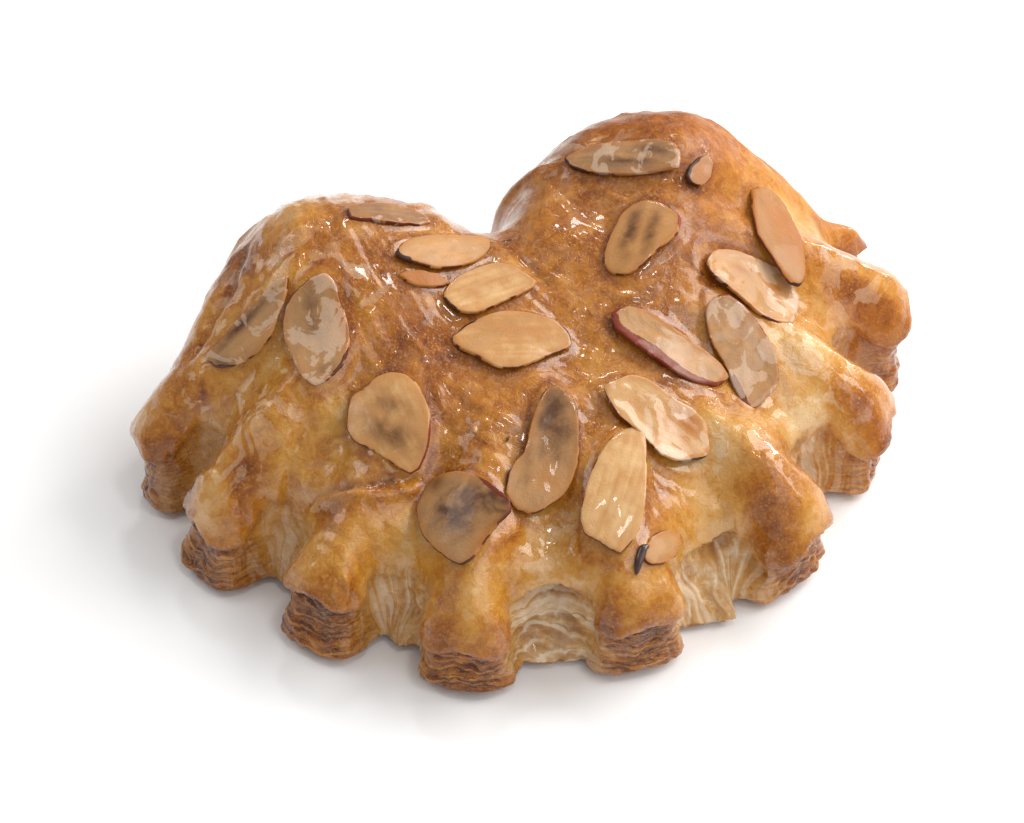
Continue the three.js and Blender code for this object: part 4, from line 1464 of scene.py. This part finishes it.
        a, b = a * nick, b * nick
        thick = self.thick * (0.9 + 0.12 * self.noise.wave(plan, 9.0))
        pushed = plan + 0.8 * self.noise.wave(plan, 4.0)[:, None]
        glaze = (0.09 + 0.1 * item.glaze_sheen) * self.noise.cloud(pushed, (4.4, 2.8, 4.0), 2)
        warp = 0.3 * self.noise.wave(plan, 8.0) * share + glaze
        z = 0.5 * (bends[0] * a * a + bends[1] * b * b) + lift + up * thick + warp * (0.3 + 0.7 * up)
        points = middle + np.stack([a, b, z], 1) @ axes
        marks = self.marks(item, a, b, (up < 0.6) & (share > 0.9), float(k))
        piece = make_piece(f"almond_flake_{k + 1:02d}", points, rows.faces(), material, marks)
        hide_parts(name)
        return piece

    def past(self, x: Array, y: Array) -> Array:
        """How far places in plan lie outside the slices.

        Args:
            x: places along X.
            y: places along Y.

        Returns:
            Distance in millimetres past the nearest slice's outline, negative under it.
        """
        past = np.full(x.shape, 99.0)
        for item in SLICES:
            a, b = turned(x, y, item.at, item.turn)
            half_a, half_b = item.size[0] / 2.0, item.size[1] / 2.0
            theta = np.arctan2(b / half_b, a / half_a)
            rim_a, rim_b = self.outline(item, theta)
            scale = np.hypot(a, b) / np.maximum(np.hypot(rim_a, rim_b), 0.3)
            past = np.minimum(past, (scale - 1.0) * np.hypot(rim_a, rim_b))
        return past


@dataclass(frozen=True)
class Ripple:
    """Random relief: its height, the width of its widest wave and how many waves are summed."""

    height: float
    size: float | Vector
    octaves: int = 2

    def over(self, noise: Noise, points: Array) -> Array:
        """Heights over places of shape (n, 3)."""
        return self.height * noise.cloud(points, self.size, self.octaves)


@dataclass
class Dough:
    """The pastry: one closed skin over the fan, with wrinkled glaze on top, torn cuts and baked toe ends."""

    fan: Fan
    noise: Noise
    slices: AlmondSlices
    columns: int = 1100
    grain: float = 0.51
    sole_grain: float = 3.0
    shoulder_rows: int = 8
    wall_rows: int = 34
    heel_rows: int = 4
    hollow_power: float = 1.2
    layer_thick: float = 1.2
    slice_seat: float = 0.3
    box_margin: float = 0.02
    puff: Ripple = Ripple(0.8, 12.0)
    pucker: Ripple = Ripple(0.5, 5.4)
    fine: Ripple = Ripple(0.13, 1.9)
    crinkle: Ripple = Ripple(-0.2, 4.4)
    wrinkle: Ripple = Ripple(0.36, (1.7, 2.4, 1.0))
    wrinkle_turns: Place = (150.0, 190.0)
    streak: Ripple = Ripple(0.34, 2.0)
    uneven: Ripple = Ripple(0.5, 5.0, 3)
    folds: tuple[Fold, ...] = (
        Fold(((-31.2, -27.5), (-33.9, -27.2), (-37.3, -27.0), (-41.3, -26.1), (-44.6, -23.0), (-47.5, -19.7),
              (-50.3, -18.4)), 0.8, 0.7, 0.8),
        Fold(((-38.6, 25.6), (-42.6, 20.3), (-46.0, 16.8), (-48.0, 15.4), (-50.2, 14.5), (-52.4, 13.2),
              (-54.5, 12.4), (-56.4, 11.6), (-59.1, 10.0)), 0.9, 1.3, -0.4),
        Fold(((-52.2, -17.4), (-50.5, -15.0), (-48.5, -13.2), (-46.7, -12.4), (-43.2, -11.4)), 0.5, 1.0, 0.3),
        Fold(((-60.4, -0.9), (-57.4, -0.4), (-54.3, 0.8), (-51.0, 2.0)), 0.7, 1.2, 0.2),
        Fold(((1.5, -8.4), (0.4, -5.4), (-1.0, 0.3), (-1.8, 6.3), (-2.5, 12.5)), 0.6, 1.1, 0.2),
    )
    pockets: tuple[Pocket, ...] = (
        Pocket(2, 1.5, 0.66, (2.4, 0.1), 0.7),
        Pocket(3, 0.6, 0.22, (4.2, 0.17), 2.2),
        Pocket(3, -2.8, 0.76, (3.0, 0.12), 1.4),
        Pocket(4, -1.0, 0.24, (4.6, 0.15), 1.5),
        Pocket(4, 5.0, 0.5, (3.0, 0.14), 1.0),
        Pocket(4, 2.4, 0.84, (5.2, 0.24), -1.9),
        Pocket(5, -0.5, 0.22, (3.0, 0.12), 1.5),
        Pocket(5, 2.4, 0.62, (3.0, 0.15), 1.9),
        Pocket(6, 0.0, 0.3, (2.6, 0.14), 1.3),
        Pocket(6, 2.0, 0.66, (2.4, 0.14), 1.2),
    )
    blisters: tuple[tuple[float, float, float, float], ...] = (
        (-50.1, -35.7, 1.1, 0.4), (-47.3, -16.2, 0.7, 0.6), (-29.8, -46.0, 0.7, 0.3), (13.0, -50.4, 0.8, 0.3),
        (20.6, -47.6, 0.7, 0.3), (-44.6, -37.0, 0.6, 0.3), (45.4, -33.0, 0.8, 0.35), (-60.5, -7.0, 0.7, 0.3),
    )
    dry: tuple[Spot, ...] = spots(
        (43, 6, 15, 19, 0, 1.1), (26, 22, 14, 10, 0, 0.6),
        (60, 6, 8, 9, 0, 0.8), (31, -6, 6, 6, 0, 0.6),
    )
    smooth: tuple[Spot, ...] = spots(
        (-20, 8, 12, 15, 20, 1), (10, -4, 10, 8, 0, 0.6),
    )
    browned: tuple[Spot, ...] = spots(
        (-62.2, -3.7, 7, 3, 190, 0.19), (-66, 2.5, 3.5, 5, 0, 0.17),
        (-56, -9.8, 5, 2.2, 20, 0.22), (-43.2, 17, 4, 8, 30, 0.22),
        (30.5, 15, 16, 14, 20, 0.17), (47.1, 19.4, 7, 6, 0, 0.17),
        (-23, -8, 5.5, 9, 10, 0.20), (-27.5, -17.5, 4, 4, 0, 0.17),
        (-36.5, -28.4, 8, 2.6, 170, 0.20), (-47, -24.5, 4, 3, 140, 0.20),
        (15.1, -40.8, 7, 6, 0, -0.20), (30, -30, 9, 6, 320, -0.22),
        (44, -5, 8, 9, 0, -0.17), (-37.5, -49, 2.4, 7, 325, 0.19),
        (-33, -55.5, 3.5, 3.5, 0, 0.20), (-15, -59.5, 3.6, 3, 0, 0.24),
        (-11, -64, 5, 2.6, 0, 0.20), (17.6, -54.5, 5.5, 5, 0, 0.27),
        (43.3, -38, 5.2, 3.4, 320, 0.25), (56, -19, 8, 2.2, 345, 0.25),
        (-57.5, -13, 6, 2.2, 195, 0.22), (-64, 4, 4, 3.2, 0, 0.16),
        (-45.5, -15.2, 4.2, 2.6, 200, 0.16), (36.4, -40.8, 6, 5.6, 310, -0.42),
        (37.7, -28.4, 8, 6, 320, -0.30), (11.5, -40.9, 7, 5, 0, -0.15),
        (-39.7, -28.6, 5, 5, 0, -0.12),
    )
    # Patches where milky reflections of the glaze are painted.
    painted_reflections: tuple[Spot, ...] = spots(
        (-50.5, 3, 15, 10, 40, 0.9), (-30, 2, 6, 5, 0, 0.5),
        (-52, -22, 6, 5, 0, 0.5), (18, 20, 6, 10, 20, 0.5),
        (36, -33, 9, 5, 310, 0.6), (54, -14, 6, 8, 0, 0.5),
        (-18, -44, 8, 6, 0, 0.4),
    )

    def skeleton(self) -> tuple[Values, Array]:
        """Points of the plain shape, with what each is: on the top, down the wall or under the sole.

        The shoulder is a quarter ellipse; the wall runs straight from shoulder to heel less a hollow,
        sin(π share)^1.2; the heel is a quarter circle. Even caps close the top and the sole.

        Returns:
            Values of the points by name, and their triangles. The value down is −1 on the top, 0 to 1
            down the wall, 1 to 2 round the heel and 3 under the sole; edge is the distance in plan from
            the inset edge of the top.
        """
        rows, fan = Rows(), self.fan
        keep = ("arc", "crumb", "crust", "in_x", "in_y", "lift")
        edge = fan.edge(self.columns)
        kept = {name: edge[name] for name in keep}
        x0, y0, in_x, in_y = (edge[name] for name in ("x", "y", "in_x", "in_y"))
        for k in range(self.shoulder_rows + 1):
            angle = k / self.shoulder_rows * np.pi / 2.0
            far = edge["shoulder"] * (1.0 - np.sin(angle))
            x, y = x0 + in_x * far, y0 + in_y * far
            z = fan.height(x, y) - edge["drop"] * (1.0 - np.cos(angle))
            rows.add(x=x, y=y, z=z, edge=0.0, down=-1.0 + k / self.shoulder_rows, **kept)
        top = fan.height(x0, y0) - edge["drop"]
        low = edge["lift"] + edge["heel"]
        for k in range(1, self.wall_rows + 1):
            share = k / self.wall_rows
            bow = max(np.sin(np.pi * share), 0.0)
            out = edge["lean"] * share - edge["hollow"] * bow**self.hollow_power
            z = top * (1.0 - share) + low * share
            rows.add(x=x0 - in_x * out, y=y0 - in_y * out, z=z, edge=0.0, down=share, **kept)
        for k in range(1, self.heel_rows + 1):
            angle = k / self.heel_rows * np.pi / 2.0
            out = edge["lean"] - edge["heel"] * (1.0 - np.cos(angle))
            z = edge["lift"] + edge["heel"] * (1.0 - np.sin(angle))
            down = 1.0 + k / self.heel_rows
            rows.add(x=x0 - in_x * out, y=y0 - in_y * out, z=z, edge=0.0, down=down, **kept)
        values = {name: rows.column(name) for name in ("x", "y", "z", "edge", "down", *keep)}
        parts = [rows.faces()]
        for first, step in ((0, self.grain), (len(values["x"]) - self.columns, self.sole_grain)):
            cap = Cap(np.stack([values["x"], values["y"]], 1)[first:first + self.columns], step)
            x, y = cap.inner.T
            extra = {name: edge[name][cap.beside] for name in keep}
            lifted = extra["lift"] * ease(7.0, 0.0, cap.far)
            extra.update(x=x, y=y, z=lifted if first else fan.height(x, y), edge=cap.far,
                         down=np.full(len(x), 3.0 if first else -1.0))
            numbers = np.concatenate([first + np.arange(self.columns), len(values["x"]) + np.arange(len(x))])
            faces = numbers[cap.triangles]
            parts.append(faces[:, ::-1] if first else faces)
            values = {name: np.concatenate([value, extra[name]]) for name, value in values.items()}
        return values, np.concatenate(parts)

    def top_relief(self, points: Array, tear: Array) -> Array:
        """Relief of the glazed top: puffs, puckers, wrinkles round the humps and streaks towards the cuts.

        Args:
            points: places of shape (n, 3).
            tear: how near each point is to a torn cut, from 0 to 1.

        Returns:
            Heights to add along the normal.
        """
        noise = self.noise
        x, y = points[:, 0], points[:, 1]
        far, turn = self.fan.polar(x, y)
        puff = self.puff.over(noise, points)
        patch = ease(-0.25, 0.35, noise.wave(points, 13.0))
        pucker = self.pucker.over(noise, points + 3.0 * noise.wave(points, 9.0)[:, None])
        fine = self.fine.over(noise, points) * (0.5 + 0.5 * patch)
        pushed = points + 2.0 * noise.wave(points, 5.0)[:, None]
        crests = noise.ridges(pushed, self.crinkle.size, self.crinkle.octaves)
        crinkle = self.crinkle.height * (crests - 0.7) * patch
        calm = ease(44.0, 56.0, far) * ease(20.0, -4.0, y)
        calm = np.maximum(calm, self.patches(self.smooth, points))
        relief = puff + (pucker + crinkle) * (1.0 - 0.65 * calm) + fine * (1.0 - 0.5 * calm)
        for hump, start in zip(self.fan.humps, self.wrinkle_turns):
            dx, dy = x - hump.at[0], y - hump.at[1]
            a, b = hump.reach(x, y)
            out = np.hypot(a, b)
            angle = np.arctan2(dy, dx)
            bands = np.stack([22.0 * out, 3.4 * angle, 0.0 * out + start], 1)
            side = ease(80.0, 20.0, np.abs((np.degrees(angle) - start + 180.0) % 360.0 - 180.0))
            relief += self.wrinkle.over(noise, bands) * side * ease(0.3, 0.7, out)
        for at_x, at_y, size, lift in self.blisters:
            off = np.hypot(x - at_x, y - at_y)
            relief += lift * (bell(off - size, 0.34) + 0.5 * bell(off, 0.6 * size))
        rays = np.stack([np.radians(turn) * 46.0, far * 0.16, 0.0 * far], 1)
        relief += self.streak.over(noise, rays) * tear
        return relief

    def wall_relief(self, values: Values, points: Array) -> tuple[Array, ...]:
        """Relief of the side: baked layers at the toe ends, and hollows and strands in the torn cuts.

        Layers are bands of even thickness with round edges and grooves between them, each put forward or
        back by noise of its own. Hollows are listed ovals and the middles of thrown cells.

        Args:
            values: the dough's values by name.
            points: their places of shape (n, 3).

        Returns:
            Distances to move outwards, how deep each point lies in a groove or hollow, from −1 on a ledge
            to 1, and its height counted in layers.
        """
        noise = self.noise
        down, crumb, crust, arc = (values[name] for name in ("down", "crumb", "crust", "arc"))
        z = points[:, 2]
        on_wall = ease(-0.15, 0.12, down) * ease(1.9, 1.1, down)
        sway = 1.5 * noise.cloud(points, (7.0, 7.0, 16.0), 2) + 0.8 * noise.cloud(points, (3.2, 3.2, 4.0), 2)
        level = (z + sway) / self.layer_thick
        layer = np.floor(level)
        way = level - layer
        own = noise.cloud(np.stack([arc, layer * 9.7, layer * 3.3], 1), (4.0, 1.0, 1.0), 2)
        bead = np.sqrt(np.maximum(1.0 - (2.0 * way - 1.0) ** 2, 0.0))
        frayed = noise.cloud(points, (1.7, 1.7, 1.2), 2)
        flaky = 0.4 * bead - 0.6 + 0.9 * own + 0.4 * frayed + 0.9 * down * down
        start = 0.16 + 0.12 * noise.wave(np.stack([arc, 0.0 * arc, 0.0 * arc + 5.0], 1), 6.0)
        groove = bell(down - start, 0.11)
        brow = bell(down + 0.02, 0.14)
        baked = crust * (on_wall * (flaky - 1.7 * groove * (0.7 + 0.8 * own)) + 0.9 * brow)
        near, second = noise.cells(points + 1.4 * noise.wave(points, 5.0)[:, None], (4.6, 4.6, 4.0))
        pit = ease(0.62, 0.18, near)
        web = ease(0.16, 0.0, second - near)
        strands = noise.ridges(self.thread(values, points, 0.9), (2.4, 1.6, 1.0), 2) - 0.72
        torn = -0.45 * pit + 0.4 * web + 1.5 * strands + 0.6 * noise.cloud(points, (6.0, 6.0, 9.0), 2)
        hole = np.zeros(len(points))
        for pocket in self.pockets:
            off = (arc - self.fan.cut_arcs[pocket.cut] - pocket.along) / pocket.radii[0]
            deep = (down - pocket.down) / pocket.radii[1]
            off, deep = off + 0.25 * noise.wave(points, 3.0), deep + 0.3 * noise.wave(points + 40.0, 3.0)
            hole += pocket.depth * np.exp(-((off**2 + deep**2) ** 1.5))
        rough = crumb * on_wall * torn
        out = baked + rough - hole * on_wall * ease(0.05, 0.3, crumb)
        sunk = np.clip(0.95 - 1.3 * bead + 0.6 * groove - 0.8 * own - 0.4 * frayed, -1.0, 1.0)
        depth = crust * on_wall * sunk
        torn_depth = crumb * on_wall * np.clip(0.25 * pit + 0.3 * hole - 1.2 * strands, 0.0, 1.0)
        depth = np.where(torn_depth > np.abs(depth), torn_depth, depth)
        return out, depth, level

    def build(self, material: bpy.types.Material) -> bpy.types.Object:
        """Builds the pastry and its marks.

        Args:
            material: the dough's finish.

        Returns:
            The piece.
        """
        values, faces = self.skeleton()
        points = np.stack([values[name] for name in ("x", "y", "z")], 1)
        out_way = -np.stack([values["in_x"], values["in_y"], 0.0 * points[:, 0]], 1)
        down, crumb, crust, edge = (values[name] for name in ("down", "crumb", "crust", "edge"))
        facing = normals(points, faces)
        past = self.slices.past(points[:, 0], points[:, 1])
        on_top = ease(0.35, -0.1, down)
        under = on_top * ease(2.2, 0.2, past)
        tear = crumb * ease(15.0, 0.0, edge) * on_top
        relief = self.top_relief(points, tear) * (1.0 - 0.85 * under)
        for fold in self.folds:
            relief += self.fold_relief(points, fold)
        relief += self.slice_seat * ease(1.6, -0.2, past)
        body = ease(2.6, 1.6, down)
        wall, depth, level = self.wall_relief(values, points)
        uneven = self.uneven.over(self.noise, points) * (1.0 - on_top) * (1.0 - crumb) * body
        moved = points + facing * (relief * on_top + uneven)[:, None]
        moved += out_way * wall[:, None]
        marks = self.marks(values, points, depth, past, relief)
        marks["layer"] = level
        low, high = (np.array(corner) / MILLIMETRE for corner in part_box("pastry"))
        shift = np.array([*HUB, 0.0])
        moved = np.clip(moved + shift, low + self.box_margin, high - self.box_margin) - shift
        flat = down >= 3.0
        moved[flat, 2] = points[flat, 2]
        piece = make_piece("glazed_dough", moved, faces, material, marks)
        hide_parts("pastry")
        return piece

    def thread(self, values: Values, points: Array, sway: float) -> Array:
        """Coordinates of the strands in the cuts: across them, along them, 0. They run down the wall, and
        in the cut with the deepest arch from side to side.

        Args:
            values: the dough's values by name.
            points: their places of shape (n, 3).
            sway: how far the strands bend, in millimetres.

        Returns:
            Coordinates of shape (n, 3), in millimetres across and in threes of the wall along.
        """
        arcs, arc = self.fan.cut_arcs, values["arc"]
        nearest = np.abs(arc[:, None] - arcs).argmin(1)
        sideways = nearest == int(np.argmax([cut.arch for cut in self.fan.cuts]))
        bent = sway * self.noise.wave(points, 4.0 + sway)
        across = np.where(sideways, 1.2 * points[:, 2], arc) + bent
        return np.stack([across, np.where(sideways, 0.25 * arc, 3.0 * values["down"]), 0.0 * arc], 1)

    def patches(self, spots: tuple[Spot, ...], points: Array) -> Array:
        """Sum of soft oval patches with frayed edges."""
        total = np.zeros(len(points))
        frayed = 1.0 + 0.6 * self.noise.cloud(points, 5.0, 3)
        for spot in spots:
            a, b = turned(points[:, 0], points[:, 1], spot.at, spot.turn)
            a, b = a / spot.radii[0], b / spot.radii[1]
            total += spot.amount * np.exp(-((a * a + b * b) ** 1.2) * frayed)
        return total

    def fold_relief(self, points: Array, fold: Fold) -> Array:
        """Relief of one fold: a groove along its path and a step up on the path's left side.

        Args:
            points: places of shape (n, 3).
            fold: the fold.

        Returns:
            Heights to add.
        """
        path = np.array(fold.path)
        best = np.full(len(points), 99.0)
        side = np.zeros(len(points))
        run = np.zeros(len(points))
        for k, (a, b) in enumerate(zip(path, path[1:])):
            way = b - a
            t = np.clip(((points[:, :2] - a) @ way) / (way @ way), 0.0, 1.0)
            off = points[:, :2] - (a + t[:, None] * way)
            far = np.linalg.norm(off, axis=1)
            closer = far < best
            best = np.where(closer, far, best)
            side = np.where(closer, np.sign(way[0] * off[:, 1] - way[1] * off[:, 0]), side)
            run = np.where(closer, (k + t) / (len(path) - 1), run)
        fade = ease(0.0, 0.18, run) * ease(1.0, 0.82, run)
        lip = fold.step * bell(best - fold.width * 1.1, fold.width * 1.4) * (side > 0)
        return fade * (lip - fold.depth * bell(best, fold.width))

    def marks(self, values: Values, points: Array, depth: Array,
              past: Array, relief: Array) -> Values:
        """Values that the finish reads, apart from layer: where and how the dough is baked, torn and wet,
        and where shade, a sunlit tint and reflections are painted.

        Args:
            values: the dough's values by name.
            points: places of the plain shape.
            depth: how deep a point lies in a groove or hollow.
            past: distance past the nearest slice.
            relief: the relief of the top.

        Returns:
            The marks bake, crumb, strand, veil, cavity, sun, wet and flake by name.
        """
        noise = self.noise
        down, crumb, crust = (values[name] for name in ("down", "crumb", "crust"))
        x, y = points[:, 0], points[:, 1]
        far, turn = self.fan.polar(x, y)
        toe = self.fan.on_toe(turn)
        on_top = ease(0.4, -0.3, down)
        wall = 1.0 - on_top
        knuckle = ease(46.0, 60.0, far) * np.maximum(toe, 0.0) * ease(20.0, -4.0, y)
        top = 0.47 - 0.14 * knuckle + 0.12 * ease(44.0, 28.0, far)
        top -= 0.18 * ease(36.0, 50.0, far) * np.maximum(-toe, 0.0)
        # Darker in dips of the relief: painted shade, and glaze pooling in hollows.
        top += 0.24 * noise.cloud(points, 14.0, 3) - 0.15 * relief + self.patches(self.browned, points)
        # Painted shade: a darker ring just outside each slice.
        top = np.minimum(top + 0.2 * bell(past - 0.2, 0.6), 0.74)
        pale = np.clip(crumb * ease(-0.35, 0.55, down + 0.3 * noise.cloud(points, 4.0, 2)), 0.0, 1.0)
        side = 0.4 - 0.3 * pale + 0.36 * crust * (1.0 - 0.5 * crumb)
        mottle = (0.1 + 0.12 * crust) * noise.cloud(points, (5.0, 5.0, 2.5), 3)
        # Random mottling, and painted shade: the wall darker in its grooves and hollows, paler on its ledges.
        side += mottle + 0.34 * np.clip(depth, -0.9, 0.8) * crust
        lip = bell(down + 0.2, 0.35) * (0.1 * crust - 0.1 * crumb)
        bake = top * on_top + side * wall + lip
        bake = np.where(down > 1.2, np.maximum(bake, 0.62), bake)
        wet = np.clip(0.8 + 0.2 * on_top + 0.2 * wall * crust - self.patches(self.dry, points), 0.0, 1.0)
        # Painted reflections: faint all over the top, stronger in the listed patches, kept off the slices.
        glaze_sheen = (0.1 + self.patches(self.painted_reflections, points)) * on_top * ease(-0.2, 0.8, past)
        # Painted sunlit tint: stronger towards +X, the side of the key lamp, with slow noise.
        sun = np.clip(0.25 + 0.5 * ease(10.0, 50.0, x) + 0.4 * noise.cloud(points, 20.0, 2), 0.0, 0.8)
        return {
            "bake": np.clip(bake, 0.0, 1.0),
            "crumb": np.clip(pale * wall, 0.0, 1.0),
            "strand": self.thread(values, points, 1.6) * np.array([1.0, 0.4, 1.0]),
            "glaze_sheen": np.clip(glaze_sheen, 0.0, 1.0),
            # Painted shade in grooves and hollows.
            "cavity": np.clip(depth, 0.0, 1.0),
            "sun": sun * (1.0 - 0.6 * crumb * wall),
            "wet": wet,
            "flake": np.clip(crust * wall * (1.0 - 0.8 * crumb) * ease(1.6, 1.0, down), 0.0, 1.0),
        }


@dataclass
class Bits:
    """Small bits on the glaze: a splinter of charred skin, a pale seed and a dark speck."""

    fan: Fan
    noise: Noise
    steps: int = 24
    sides: int = 12
    ball_turns: int = 20
    ball_rows: int = 13
    raised: float = 0.25

    def splinter(self, name: str, path: Array, radius: float,
                 material: bpy.types.Material) -> bpy.types.Object:
        """A thin curved splinter: a tube that swells as sin(π t)^0.5 along a path.

        Args:
            name: the piece's name.
            path: points along it of shape (n, 3).
            radius: its greatest radius.
            material: its finish.

        Returns:
            The piece.
        """
        t = np.linspace(0.0, 1.0, self.steps)
        marks = np.linspace(0.0, 1.0, len(path))
        line = np.stack([np.interp(t, marks, path[:, k]) for k in range(3)], 1)
        line = (np.roll(line, 1, 0) + 2.0 * line + np.roll(line, -1, 0)) / 4.0
        line[0], line[-1] = path[0], path[-1]
        way = np.gradient(line, axis=0)
        way /= np.linalg.norm(way, axis=1, keepdims=True)
        side = np.cross(way, [0.0, 0.0, 1.0])
        side /= np.linalg.norm(side, axis=1, keepdims=True)
        over = np.cross(side, way)
        angle = np.arange(self.sides) / self.sides * FULL_TURN
        rows = Rows()
        for k in range(self.steps):
            swell = radius * np.sqrt(max(np.sin(np.pi * t[k]), 0.0))
            if k in (0, self.steps - 1):
                rows.add(x=line[k:k + 1, 0], y=line[k:k + 1, 1], z=line[k:k + 1, 2])
                continue
            round_it = np.cos(angle)[:, None] * side[k] + 0.6 * np.sin(angle)[:, None] * over[k]
            ring = line[k] + swell * round_it
            rows.add(x=ring[:, 0], y=ring[:, 1], z=ring[:, 2])
        points = np.stack([rows.column(axis) for axis in "xyz"], 1)
        faces = rows.faces()
        middle = points.mean(0)
        if np.sum(normals(points, faces) * (points - middle)) < 0:
            faces = faces[:, ::-1]
        return make_piece(name, points, faces, material)

    def grain(self, name: str, at: Place, radii: Vector, turn: float,
              material: bpy.types.Material) -> bpy.types.Object:
        """A grain half sunk in the glaze: a ball scaled to its radii, a little lumpy.

        Args:
            name: the piece's name.
            at: its place in plan.
            radii: its three radii.
            turn: its direction in plan.
            material: its finish.

        Returns:
            The piece.
        """
        rows = Rows()
        angle = np.arange(self.ball_turns) / self.ball_turns * FULL_TURN
        rows.add(x=[0.0], y=[0.0], z=[1.0])
        for tilt in np.linspace(0.0, np.pi, self.ball_rows)[1:-1]:
            rows.add(x=np.cos(angle) * np.sin(tilt), y=np.sin(angle) * np.sin(tilt), z=np.cos(tilt))
        rows.add(x=[0.0], y=[0.0], z=[-1.0])
        ball = np.stack([rows.column(axis) for axis in "xyz"], 1)
        ball *= 1.0 + 0.12 * self.noise.cloud(ball + at[0], 0.9, 2)[:, None]
        ball *= np.array(radii)
        way = np.radians(turn)
        spin = np.array([[np.cos(way), np.sin(way), 0.0], [-np.sin(way), np.cos(way), 0.0], [0.0, 0.0, 1.0]])
        points = ball @ spin + np.array([at[0], at[1], self.fan.height_at(*at) + self.raised])
        return make_piece(name, points, rows.faces(), material)

    def build(self) -> None:
        """Builds every bit."""
        char = PlainFinish("charred skin", (34, 20, 16), (74, 36, 24), 0.4).material()
        seed = PlainFinish("pale seed", (196, 146, 82), (176, 120, 62), 0.35).material()
        plan = ((-4.7, -54.5), (-6.0, -54.9), (-7.4, -56.2), (-8.6, -57.6))
        lift = (0.9, 1.2, 0.9, 0.5)
        path = np.array([(x, y, self.fan.height_at(x, y) + up) for (x, y), up in zip(plan, lift)])
        self.splinter("charred_splinter", path, 0.75, char)
        self.grain("pale_seed", (-21.7, -25.8), (0.9, 0.55, 0.45), 60.0, seed)
        self.grain("dark_speck", (-17.7, -29.7), (0.5, 0.22, 0.3), 40.0, char)


@dataclass(frozen=True)
class Lamp:
    """A soft box: name, direction and height in degrees, distance, width and height in metres, watts and
    colour."""

    name: str
    turn: float
    tilt: float
    far: float
    size: Place
    power: float
    colour: Vector = (1.0, 1.0, 1.0)


@dataclass
class Studio:
    """A plain pale floor, soft lights and the camera at the photograph's angle."""

    lamps: tuple[Lamp, ...] = (
        Lamp("key", -1.0, 42.0, 0.9, (0.76, 0.54), 7.8, (1.0, 0.985, 0.96)),
        Lamp("panel", 138.0, 44.0, 0.8, (0.42, 0.26), 1.0),
        Lamp("strip", 24.0, 10.0, 0.7, (0.06, 0.15), 1.0),
        Lamp("spark", 62.0, 54.0, 0.9, (0.1, 0.1), 0.9),
        Lamp("glint", -70.0, 76.0, 0.9, (0.09, 0.09), 0.7),
        Lamp("fill", -72.0, 42.0, 0.9, (0.7, 0.5), 2.0),
    )
    aim: Vector = (0.0, 0.0, 0.02)
    sky: float = 0.4
    floor_size: float = 8.0
    pale: tuple[float, ...] = (0.93, 0.93, 0.93, 1.0)
    target: Vector = (-8.79, 2.53, 15.2)
    turn: float = -25.8
    tilt: float = 45.0
    distance: float = 600.0
    lens: float = 125.72
    sensor: float = 36.0

    def floor(self) -> None:
        """Lays the floor."""
        bpy.ops.mesh.primitive_plane_add(size=self.floor_size, location=(0.0, 0.0, 0.0))
        plane = bpy.context.object
        plane.name = "floor"
        made, tree, shader = blank("pale floor")
        tree.feed(shader, {"Base Color": self.pale, "Roughness": 0.9, "Specular IOR Level": 0.2})
        plane.data.materials.append(made)

    def hang(self, lamp: Lamp) -> None:
        """Hangs a soft box so that it faces the pastry."""
        data = bpy.data.lights.new(lamp.name, "AREA")
        data.shape = "RECTANGLE"
        data.size, data.size_y = lamp.size
        data.energy = lamp.power
        data.color = lamp.colour
        box = bpy.data.objects.new(lamp.name, data)
        a, b = np.radians(lamp.turn), np.radians(lamp.tilt)
        way = np.array([np.cos(a) * np.cos(b), np.sin(a) * np.cos(b), np.sin(b)])
        box.location = way * lamp.far + np.array(self.aim)
        box.rotation_euler = (np.pi / 2.0 - b, 0.0, a + np.pi / 2.0)
        bpy.context.scene.collection.objects.link(box)

    def build(self) -> None:
        """Builds floor, lights, world and camera."""
        scene = bpy.context.scene
        self.floor()
        for lamp in self.lamps:
            self.hang(lamp)
        world = bpy.data.worlds.new("studio")
        world.use_nodes = True
        sky = world.node_tree.nodes["Background"]
        Tree(world.node_tree).feed(sky, {"Color": (1.0, 1.0, 1.0, 1.0), "Strength": self.sky})
        scene.world = world
        scene.view_settings.view_transform = "Standard"
        data = bpy.data.cameras.new("camera")
        data.sensor_width = self.sensor
        data.lens = self.lens
        camera = bpy.data.objects.new("camera", data)
        a, b = np.radians(self.turn), np.radians(self.tilt)
        back = np.array([np.sin(a) * np.cos(b), -np.cos(a) * np.cos(b), np.sin(b)])
        camera.location = (np.array(self.target) + back * self.distance) * MILLIMETRE
        camera.rotation_euler = (np.pi / 2.0 - b, 0.0, a)
        scene.collection.objects.link(camera)
        scene.camera = camera


def main() -> None:
    """Builds the bear claw and its studio."""
    logging.basicConfig(level=logging.INFO, format="%(name)s: %(message)s")
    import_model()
    fan = Fan()
    skin = glaze_skin()
    slices = AlmondSlices(fan, Noise(23))
    Dough(fan, Noise(7), slices).build(DoughFinish().material(skin))
    almond = AlmondFinish().material(skin)
    for k, item in enumerate(SLICES):
        slices.build(item, k, almond)
    Bits(fan, Noise(5)).build()
    Studio().build()


if __name__ == "__main__":
    main()
